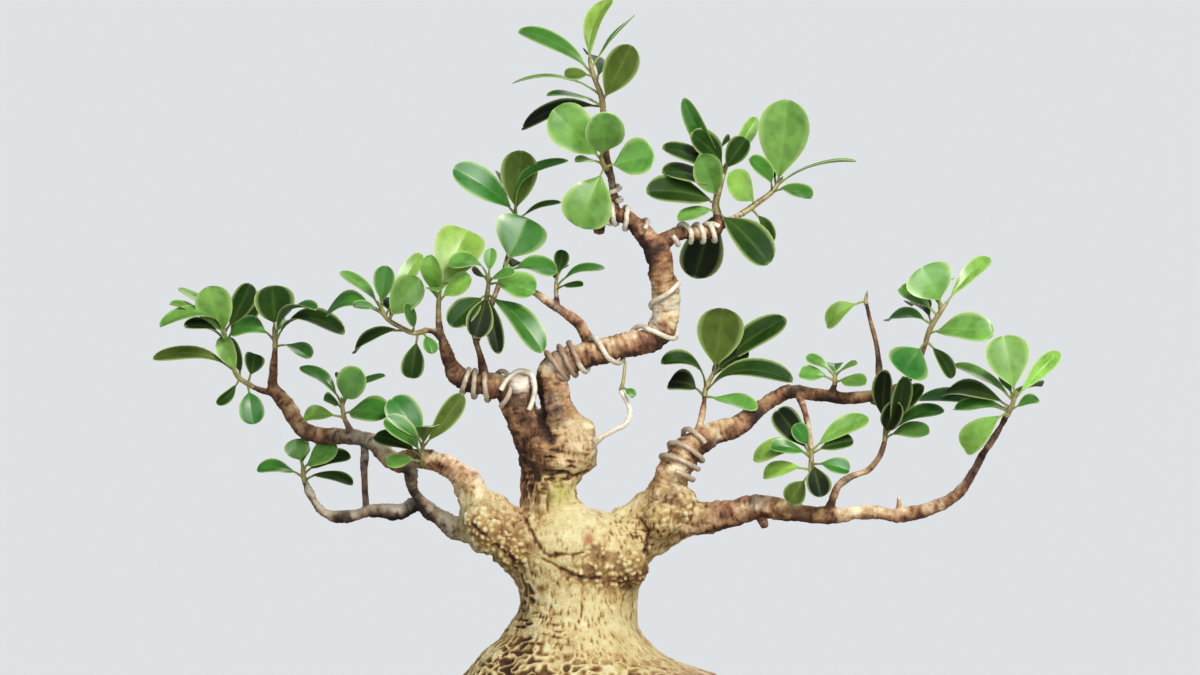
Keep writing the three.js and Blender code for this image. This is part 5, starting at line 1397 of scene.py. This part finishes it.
def bent(root, bend, tip, t):
    """Places on the bent line from root to tip, and the direction at each."""
    t = np.asarray(t).reshape(-1, 1)
    places = (1 - t) ** 2 * root + 2 * t * (1 - t) * bend + t**2 * tip
    return places, unit(2 * (1 - t) * (bend - root) + 2 * t * (tip - bend))


def leaf_face(turn, tilt, ahead):
    """The way a leaf's upper side faces, at a right angle to the line from root to tip."""
    turned, tilted = math.radians(turn), math.radians(tilt)
    face = np.array([
        math.sin(turned) * math.cos(tilted),
        -math.cos(turned) * math.cos(tilted),
        math.sin(tilted),
    ])
    return unit(face - np.dot(face, ahead) * ahead)


def blade_points(middle, along, face, width, draw):
    """The top and the underside of a blade that is folded, waved and twisted a little."""
    fold, wave, phase = draw.uniform(*FOLD), draw.uniform(*WAVE), draw.uniform(*WAVE_PHASE)
    twist = draw.uniform(*TWIST) * (ROWS - TWIST_PLACE)
    up = unit(face - (along @ face)[:, None] * along)
    right = np.cross(along, up)
    right, up = (
        right * np.cos(twist) + up * np.sin(twist),
        up * np.cos(twist) - right * np.sin(twist),
    )
    halves = np.interp(ROWS, BLADE_PLACES, BLADE_HALVES) * width / 2
    raised = 2 * fold * np.abs(COLUMNS) ** FOLD_CURVE * halves
    raised = raised + wave * width * np.sin(WAVE_COUNT * ROWS + phase) * COLUMNS**2
    raised = raised - GROOVE_DEPTH * np.exp(-((COLUMNS / GROOVE_WIDTH) ** 2)) * (1 - ROWS)
    sheet = middle[:, None] + right[:, None] * (COLUMNS * halves)[..., None]
    sheet = sheet + up[:, None] * raised[..., None]
    thick = BLADE_THICKNESS / 2 * (1 - EDGE_THINNING * COLUMNS**4)[..., None] * up[:, None]
    return np.concatenate([(sheet + thick).reshape(-1, 3), (sheet - thick).reshape(-1, 3)])


def add_leaf(shape, root, row, draw):
    """One leaf: a round stalk, and a closed blade."""
    _, x, y, z, width, turn, tilt, arch, tone = row
    tip = placed((x, y, z))
    chord = tip - root
    length = np.linalg.norm(chord)
    face = leaf_face(turn, tilt, unit(chord))
    bend = root + BEND_PLACE * chord + 2 * arch * length * face
    petiole = min(PETIOLE_LENGTH / length, PETIOLE_SHARE)
    tint = np.array(TINTS[tone]) * draw.uniform(*BRIGHTNESS) * np.array([draw.uniform(*REDNESS), 1, 1])

    stalk = bent(root, bend, tip, np.linspace(0, petiole + STALK_OVERLAP, STALK_ROWS))[0]
    radii = np.linspace(*STALK_RADII, STALK_ROWS)
    shape.add(*tube(stalk, radii, STALK_SIDES), **STALK_MARKS, tint=tint)
    middle, along = bent(root, bend, tip, petiole + (1 - petiole) * ROWS)
    points = blade_points(middle, along, face, width, draw)
    shape.add(points, BLADE_FACES, **{**BLADE_MARKS, "tint": tint, "dull": tone in DULL_TONES})


def spray_mesh(name, draw):
    """A leafy shoot: its stalk, a bud at its end, and its leaves."""
    carrier_name, shoot, leaves = SPRAYS[name]
    carrier, radii = stem_path(STEMS[carrier_name], CARRIER_STEPS)
    start = carrier[-1] - SHOOT_DEPTH * unit(carrier[-1] - carrier[-2])
    path = curve([start] + [placed(row) for row in shoot], SHOOT_STEPS)
    girths = [radii[-1]] + [row[3] for row in shoot]
    shape = Shape()
    swell = stem_swell(SHOOT_SEED, SHOOT_GNARL)
    shape.add(*tube(path, spans(girths, SHOOT_STEPS), SHOOT_SIDES, swell), **SHOOT_MARKS)
    bud = path[-1] + unit(path[-1] - path[-3]) * np.linspace(0, BUD_LENGTH, len(BUD_GIRTHS))[:, None]
    shape.add(*tube(bud, girths[-1] * np.array(BUD_GIRTHS), BUD_SIDES), **BUD_MARKS)
    for row in leaves:
        place = round(row[0] * HIGHEST_ROOT * (len(path) - 1))
        outward = unit(placed(row[1:4]) - path[place])
        add_leaf(shape, path[place] + ROOT_OFFSET * outward, row, draw)
    data = shape.mesh(name)
    dull = data.attributes["dull"].data
    for face in data.polygons:
        face.material_index = int(dull[face.vertices[0]].value)
    return data


# Training wire.

WIRE_RADIUS = 1.3
WIRE_STEPS_A_TURN = 26
WIRE_SIDES = 12
WIRE_PLACES = 24
STUB_WIRE_STEPS = 10
# The inside of a wire's turns as a factor of the stem's radius, so that it clears small lumps.
WIRE_CLEARANCE = 1.04


def wound(stem, winding, brown, last_brown):
    """The line of a wire wound close round its stem, and how brown the wire is along it."""
    path, radii = stem_path(STEMS[stem], WIRE_PLACES)
    _, across, beside = sides_along(path)
    line, browns = [], []
    for (start, turns_before), (end, turns_after) in zip(winding, winding[1:]):
        steps = math.ceil((turns_after - turns_before) * WIRE_STEPS_A_TURN)
        for step in range(steps):
            share = step / steps
            place = start + (end - start) * share
            index = round(place * WIRE_PLACES)
            angle = TURN * (turns_before + (turns_after - turns_before) * share)
            spoke = math.cos(angle) * across[index] + math.sin(angle) * beside[index]
            line.append(path[index] + (radii[index] * WIRE_CLEARANCE + WIRE_RADIUS) * spoke)
            browns.append(brown if place < last_brown else 0)
    return line, browns


def show_wire(name, line, browns):
    """Puts a wire along a line in the scene."""
    shape = Shape()
    girths = np.full(len(line), WIRE_RADIUS)
    shape.add(*tube(np.array(line), girths, WIRE_SIDES), brown=np.repeat(browns, WIRE_SIDES))
    show(name + "_round", shape.mesh(name), [WIRE_PAINT], name, sharp=60)


# Pot, measured from its middle on the surface it stands on.

RIM_BOTTOM = POT_HEIGHT - RIM_HEIGHT
INSIDE_TOP = RIM_OVERHANG + POT_WALL
INSIDE_FLOOR = FOOT_HEIGHT + POT_FLOOR
# From the foot of the wall up its outside, over the rim and down its inside: how far in from the
# rim's outside, and height.
POT_PROFILE = [
    (POT_TAPER + 2, FOOT_HEIGHT),
    (POT_TAPER + 0.4, FOOT_HEIGHT + 0.8),
    (POT_TAPER - 0.6, FOOT_HEIGHT + 2.4),
    (RIM_OVERHANG + 0.5, RIM_BOTTOM - 1.2),
    (RIM_OVERHANG - 0.2, RIM_BOTTOM - 0.2),
    (1.2, RIM_BOTTOM + 1.2),
    (0.3, RIM_BOTTOM + 2),
    (0, RIM_BOTTOM + 3.2),
    (0, POT_HEIGHT - 2.4),
    (0.4, POT_HEIGHT - 1),
    (1.4, POT_HEIGHT - 0.2),
    (2.8, POT_HEIGHT),
    (INSIDE_TOP - 2.6, POT_HEIGHT),
    (INSIDE_TOP - 1, POT_HEIGHT - 0.3),
    (INSIDE_TOP, POT_HEIGHT - 1.5),
    (INSIDE_TOP, RIM_BOTTOM),
    (POT_TAPER + POT_WALL - 1, INSIDE_FLOOR + 3),
    (POT_TAPER + POT_WALL + 2, INSIDE_FLOOR),
]
POT_CORNER_POINTS, LEAST_POT_CORNER = 12, 8
# A foot from its sole up into the pot: how far in from its outside, and height.
FOOT_PROFILE = [(1.2, 0), (0.3, 0.4), (0, 1.2), (0, 5.5), (-1.5, 7.4), (-2, FOOT_HEIGHT + 0.8)]
FOOT_CORNER, FOOT_CORNER_POINTS = 4, 6
# A drain hole from below: radius and height.
DRAIN_PROFILE = [
    (DRAIN_RADIUS + 1, FOOT_HEIGHT - 1),
    (DRAIN_RADIUS, FOOT_HEIGHT + 1),
    (DRAIN_RADIUS, INSIDE_FLOOR - 1),
    (DRAIN_RADIUS + 1.6, INSIDE_FLOOR + 1),
]
DRAIN_SIDES = 48
QUARTERS = ((1, 1), (-1, 1), (-1, -1), (1, -1))
# The bloom of lime starts at this height and is full so much lower, and also lies along the rim.
BLOOM_TOP, BLOOM_FADE, RIM_BLOOM_FADE = 16, 12, 2
# How strong it is and how uneven, and the lumps' size and seed, low down and along the rim.
LOW_BLOOM, LOW_UNEVENNESS, LOW_NOISE = 0.25, 0.5, (12, 5)
RIM_BLOOM, RIM_UNEVENNESS, RIM_NOISE = 0.15, 0.2, (7, 6)
MOST_BLOOM = 0.6


def rounded_ring(x, y, half_x, half_y, height, corner, corner_points):
    """A level oblong with round corners."""
    ring_points = []
    for quarter, (sign_x, sign_y) in enumerate(QUARTERS):
        for point in range(corner_points):
            angle = TURN / 4 * (quarter + point / (corner_points - 1))
            ring_points.append((
                x + sign_x * (half_x - corner) + corner * math.cos(angle),
                y + sign_y * (half_y - corner) + corner * math.sin(angle),
                height,
            ))
    return ring_points


def pot_part(rings):
    """A closed body of the pot, as an object."""
    points, faces = loft(rings)
    shape = Shape()
    shape.add(points + np.array([POT_CENTRE_X, 0, -SOIL_LEVEL]), faces)
    return linked("part", shape.mesh("part"))


def pot_wall():
    return pot_part([
        rounded_ring(
            0, 0, POT_LENGTH / 2 - inset, POT_DEPTH / 2 - inset, height,
            max(POT_CORNER - inset, LEAST_POT_CORNER), POT_CORNER_POINTS,
        )
        for inset, height in POT_PROFILE
    ])


def drain_hole(side):
    x = side * DRAIN_SPACING / 2
    return pot_part([ring(x, 0, height, radius, DRAIN_SIDES) for radius, height in DRAIN_PROFILE])


def pot_foot(side_x, side_y):
    x = side_x * (POT_LENGTH / 2 - FOOT_INSET - FOOT_LENGTH / 2)
    y = side_y * (POT_DEPTH / 2 - FOOT_INSET - FOOT_DEPTH / 2)
    return pot_part([
        rounded_ring(
            x, y, FOOT_LENGTH / 2 - inset, FOOT_DEPTH / 2 - inset, height,
            FOOT_CORNER, FOOT_CORNER_POINTS,
        )
        for inset, height in FOOT_PROFILE
    ])


def pot_mesh():
    """The pot as one skin, with its drain holes cut out and its feet joined on."""
    pot = pot_wall()
    others = [("DIFFERENCE", drain_hole(side)) for side in (-1, 1)]
    others += [("UNION", pot_foot(side_x, side_y)) for side_x in (-1, 1) for side_y in (-1, 1)]
    for operation, other in others:
        modify(pot, "BOOLEAN", operation=operation, solver="EXACT", object=other)
    data = taken(pot)
    for _, other in others:
        bpy.data.objects.remove(other)
    points = mesh_points(data)
    height = points[:, 2] + SOIL_LEVEL
    low = np.clip((BLOOM_TOP - height) / BLOOM_FADE, 0, 1)
    edge = np.clip(1 - np.abs(height - POT_HEIGHT) / RIM_BLOOM_FADE, 0, 1)
    bloom = low * (LOW_BLOOM + LOW_UNEVENNESS * noise(points, *LOW_NOISE))
    bloom += edge * (RIM_BLOOM + RIM_UNEVENNESS * noise(points, *RIM_NOISE))
    set_mark(data, "bloom", np.clip(bloom, 0, MOST_BLOOM))
    return data


# Soil and moss. Places are measured from the pot's middle, heights from the soil line.

# How far the soil stays from the trunk's foot, as a factor of the foot's reach.
FOOT_CLEARANCE = 1.02
GRAINS, GRAIN_SEED = 9500, 5
GRAIN_SIZES = (1.0, 1.3, 1.6, 1.9, 2.3)
GRAIN_MARGIN = 2.5
GRAIN_CORNER = 14
GRAIN_RISE = 0.15
GRAIN_SQUASH = ((0.75, 1.2), (0.75, 1.1), (0.6, 0.9))
GRAIN_UNEVENNESS = (0.8, 1.15)
# Over 1, so that dark grains are more frequent than pale ones.
GRAIN_TONE_CURVE = 1.4
PEBBLE = np.array([
    (0, 0, 1), (0.94, 0, 0.33), (-0.47, 0.82, 0.33), (-0.47, -0.82, 0.33),
    (0.47, 0.82, -0.33), (-0.94, 0, -0.33), (0.47, -0.82, -0.33), (0, 0, -1),
])
PEBBLE_FACES = [
    (0, 1, 2), (0, 2, 3), (0, 3, 1), (1, 4, 2), (2, 5, 3), (3, 6, 1),
    (1, 6, 4), (2, 4, 5), (3, 5, 6), (7, 5, 4), (7, 6, 5), (7, 4, 6),
]
# Patches of moss: x, y and reach.
MOSS_PATCHES = [
    (-58, -46, 15), (-72, -34, 10), (70, -38, 13), (62, 44, 14), (-20, -66, 9), (-62, 46, 16),
    (20, 66, 10), (96, 8, 9),
]
CUSHIONS_A_PATCH, MOSS_SEED = 9, 9
# A cushion's strays in x and y, and its least and most size, as shares of its patch's reach.
CUSHION_STRAYS, CUSHION_SIZES = (0.5, 0.4), (0.25, 0.5)
# How far a cushion's middle stays off the trunk's foot, as a share of the cushion's size.
CUSHION_MARGIN = 0.2
CUSHION_SIDES, CUSHION_LEVELS, CUSHION_CROWN = 26, 9, 8.5
CUSHION_HEIGHT, CUSHION_DEPTH = 0.42, 0.6
CUSHION_NOISE, CUSHION_ROUGHNESS = (2.1, 33), np.array([0.21, 0.21, 0.35])


def soil_height(x, y):
    """Height of the soil at a place."""
    inset = min(POT_LENGTH / 2 - abs(x), POT_DEPTH / 2 - abs(y)) - INSIDE_TOP
    places, falls = zip((0, SOIL_FALL), *SOIL_MOUND)
    return -float(np.interp(inset, places, falls))


def bare_soil(x, y, margin):
    """Whether a place is clear of the trunk's foot."""
    _, middle, half_x, half_y = TRUNK_LEVELS[1]
    dx = x + POT_CENTRE_X - middle
    angle = math.atan2(y, dx)
    foot = half_x * half_y / math.hypot(half_y * math.cos(angle), half_x * math.sin(angle))
    return math.hypot(dx, y) > foot * FOOT_CLEARANCE + margin


def grains_mesh():
    """Loose grains over the whole of the soil, in a few sizes."""
    draw = random.Random(GRAIN_SEED)
    shape = Shape()
    limit_x = POT_LENGTH / 2 - INSIDE_TOP - GRAIN_MARGIN
    limit_y = POT_DEPTH / 2 - INSIDE_TOP - GRAIN_MARGIN
    for _ in range(GRAINS):
        x, y = draw.uniform(-limit_x, limit_x), draw.uniform(-limit_y, limit_y)
        size = draw.choice(GRAIN_SIZES)
        tone = draw.random()
        turn = draw.uniform(0, TURN)
        squash = np.array([draw.uniform(*limits) for limits in GRAIN_SQUASH])
        jitter = np.array([draw.uniform(*GRAIN_UNEVENNESS) for _ in PEBBLE])[:, None]
        over_x, over_y = abs(x) - limit_x + GRAIN_CORNER, abs(y) - limit_y + GRAIN_CORNER
        if math.hypot(max(over_x, 0), max(over_y, 0)) > GRAIN_CORNER or not bare_soil(x, y, size):
            continue
        cosine, sine = math.cos(turn), math.sin(turn)
        spin = np.array([[cosine, -sine, 0], [sine, cosine, 0], [0, 0, 1]])
        grain = (PEBBLE * jitter * squash) @ spin.T * size
        middle = np.array([x + POT_CENTRE_X, y, soil_height(x, y) + GRAIN_RISE * size])
        shape.add(grain + middle, PEBBLE_FACES, tone=tone**GRAIN_TONE_CURVE)
    return shape.mesh("soil_grains")


def cushion(x, y, size):
    """A low dome of moss."""
    rings = []
    for level in range(CUSHION_LEVELS):
        tilt = TURN / 4 * level / CUSHION_CROWN
        height = soil_height(x, y) - CUSHION_DEPTH + CUSHION_HEIGHT * size * math.sin(tilt)
        level_ring = ring(x + POT_CENTRE_X, y, height, size * math.cos(tilt), CUSHION_SIDES)
        rings.append(level_ring + noise(level_ring, *CUSHION_NOISE)[:, None] * CUSHION_ROUGHNESS)
    return loft(rings)


def moss_mesh():
    """Low cushions of moss round the foot of the tree and in the corners."""
    draw = random.Random(MOSS_SEED)
    shape = Shape()
    for patch_x, patch_y, reach in MOSS_PATCHES:
        for _ in range(CUSHIONS_A_PATCH):
            x, y = (
                middle + draw.gauss(0, reach * stray)
                for middle, stray in zip((patch_x, patch_y), CUSHION_STRAYS)
            )
            size = reach * draw.uniform(*CUSHION_SIZES)
            if bare_soil(x, y, CUSHION_MARGIN * size):
                shape.add(*cushion(x, y, size))
    return shape.mesh("moss")


# The pieces.

BARK_PAINT, WIRE_PAINT, SCREEN_PAINT = bark_paint(), wire_paint(), screen_paint()
LEAF_PAINTS = [
    leaf_paint("waxy_leaf", rough_least=0.28, rough_most=0.4, specular=0.55),
    leaf_paint("dull_leaf", rough_least=0.45, rough_most=0.6, specular=0.14),
]

show("tree_bark", tree_mesh(), [BARK_PAINT], "tree", sharp=75)
leaf_draw = random.Random(LEAF_SEED)
for spray in SPRAYS:
    show(spray + "_leaves", spray_mesh(spray, leaf_draw), LEAF_PAINTS, spray, sharp=55)
for wire, settings in WIRES.items():
    show_wire(wire, *wound(*settings))
stub_line = curve([placed(place) for place in STUB_WIRE], STUB_WIRE_STEPS)
show_wire("wire_stub", stub_line, np.zeros(len(stub_line)))
show("pot_body", pot_mesh(), [clay_paint()], "pot", sharp=35)
show("soil_grains", grains_mesh(), [soil_paint("grains", GRAIN_DARK, GRAIN_PALE)], None, sharp=40)
show("moss_cushions", moss_mesh(), [moss_paint()], None, sharp=80)

SOLID_PAINTS = {
    "soil": soil_paint("soil", SOIL_DARK, SOIL_PALE),
    "drain_screen_left": SCREEN_PAINT,
    "drain_screen_right": SCREEN_PAINT,
}
for node, material in SOLID_PAINTS.items():
    frame["nodes"][node].data.materials.clear()
    frame["nodes"][node].data.materials.append(material)


# Floor, light and camera.

# A pixel of the photo in millimetres at the tree, the photo's size in pixels, and the pixels of
# the middle of the tree's foot, which is below the photo's edge.
PIXEL = 0.5
PHOTO_WIDTH, PHOTO_HEIGHT = 1200, 675
TRUNK_PIXEL_X, SOIL_PIXEL_Y = 575, 702
CAMERA_DISTANCE = 5.0
CAMERA_NEAR, CAMERA_FAR = 0.1, 100
SENSOR = 36
FLOOR_RADIUS, FLOOR_DEPTH, FLOOR_SIDES = 1.4, 0.0003, 128
BACKDROP = (0.74, 0.76, 0.78, 1)
AMBIENT = (0.86, 0.93, 1.0, 1)
AMBIENT_STRENGTH = 0.15
# Lamps: place and size in metres, power and colour.
LAMPS = {
    "key": ((0.95, -1.5, 1.8), 0.7, 43, (1.0, 0.975, 0.92)),
    "front": ((0.5, -1.8, 1.0), 1.4, 25, (1.0, 1.0, 0.98)),
    "fill": ((-1.7, -1.3, 0.7), 1.2, 9, (0.92, 0.96, 1.0)),
    "back": ((0.7, 1.5, 1.4), 1.4, 11, (1.0, 0.98, 0.94)),
}
TREE_MIDDLE_HEIGHT = 160


def in_frame(x, y, z):
    """A place in tree millimetres, in metres."""
    return Vector((np.array([x, y, z]) + ORIGIN) * MM)


def floor():
    data = bpy.data.meshes.new("floor")
    places = ring(0, 0, -FLOOR_DEPTH, FLOOR_RADIUS, FLOOR_SIDES).tolist()
    data.from_pydata(places, [], [list(range(FLOOR_SIDES))])
    data.materials.append(floor_paint())
    linked("floor", data)


def world():
    """A pale backdrop that gives a weaker light, so that the lamps shape the tree."""
    made = bpy.data.worlds.new("studio")
    made.use_nodes = True
    nodes, links = made.node_tree.nodes, made.node_tree.links
    seen = nodes["Background"]
    seen.inputs["Color"].default_value = BACKDROP
    lit = nodes.new("ShaderNodeBackground")
    lit.inputs["Color"].default_value = AMBIENT
    lit.inputs["Strength"].default_value = AMBIENT_STRENGTH
    rays = nodes.new("ShaderNodeLightPath")
    mixed = nodes.new("ShaderNodeMixShader")
    links.new(rays.outputs["Is Camera Ray"], mixed.inputs["Fac"])
    links.new(lit.outputs["Background"], mixed.inputs[1])
    links.new(seen.outputs["Background"], mixed.inputs[2])
    links.new(mixed.outputs["Shader"], nodes["World Output"].inputs["Surface"])
    bpy.context.scene.world = made


def lamp(name, place, size, power, colour):
    """A round lamp that lights the middle of the tree."""
    data = bpy.data.lights.new(name, "AREA")
    data.shape = "DISK"
    data.size, data.energy, data.color = size, power, colour
    made = linked(name, data)
    made.location = place
    made.rotation_mode = "QUATERNION"
    aim = in_frame(0, 0, TREE_MIDDLE_HEIGHT) - Vector(place)
    made.rotation_quaternion = aim.to_track_quat("-Z", "Y")


def camera():
    """Looks straight at the tree's front from afar, with the photo's scale and framing."""
    data = bpy.data.cameras.new("camera")
    data.sensor_width = SENSOR
    data.lens = SENSOR * CAMERA_DISTANCE / (PHOTO_WIDTH * PIXEL * MM)
    data.clip_start, data.clip_end = CAMERA_NEAR, CAMERA_FAR
    made = linked("camera", data)
    x = (PHOTO_WIDTH / 2 - TRUNK_PIXEL_X) * PIXEL
    z = (SOIL_PIXEL_Y - PHOTO_HEIGHT / 2) * PIXEL
    made.location = in_frame(x, 0, z) - Vector((0, CAMERA_DISTANCE, 0))
    made.rotation_euler = (TURN / 4, 0, 0)
    bpy.context.scene.camera = made


floor()
world()
for name, settings in LAMPS.items():
    lamp(name, *settings)
camera()
bpy.context.scene.view_settings.view_transform = "Standard"
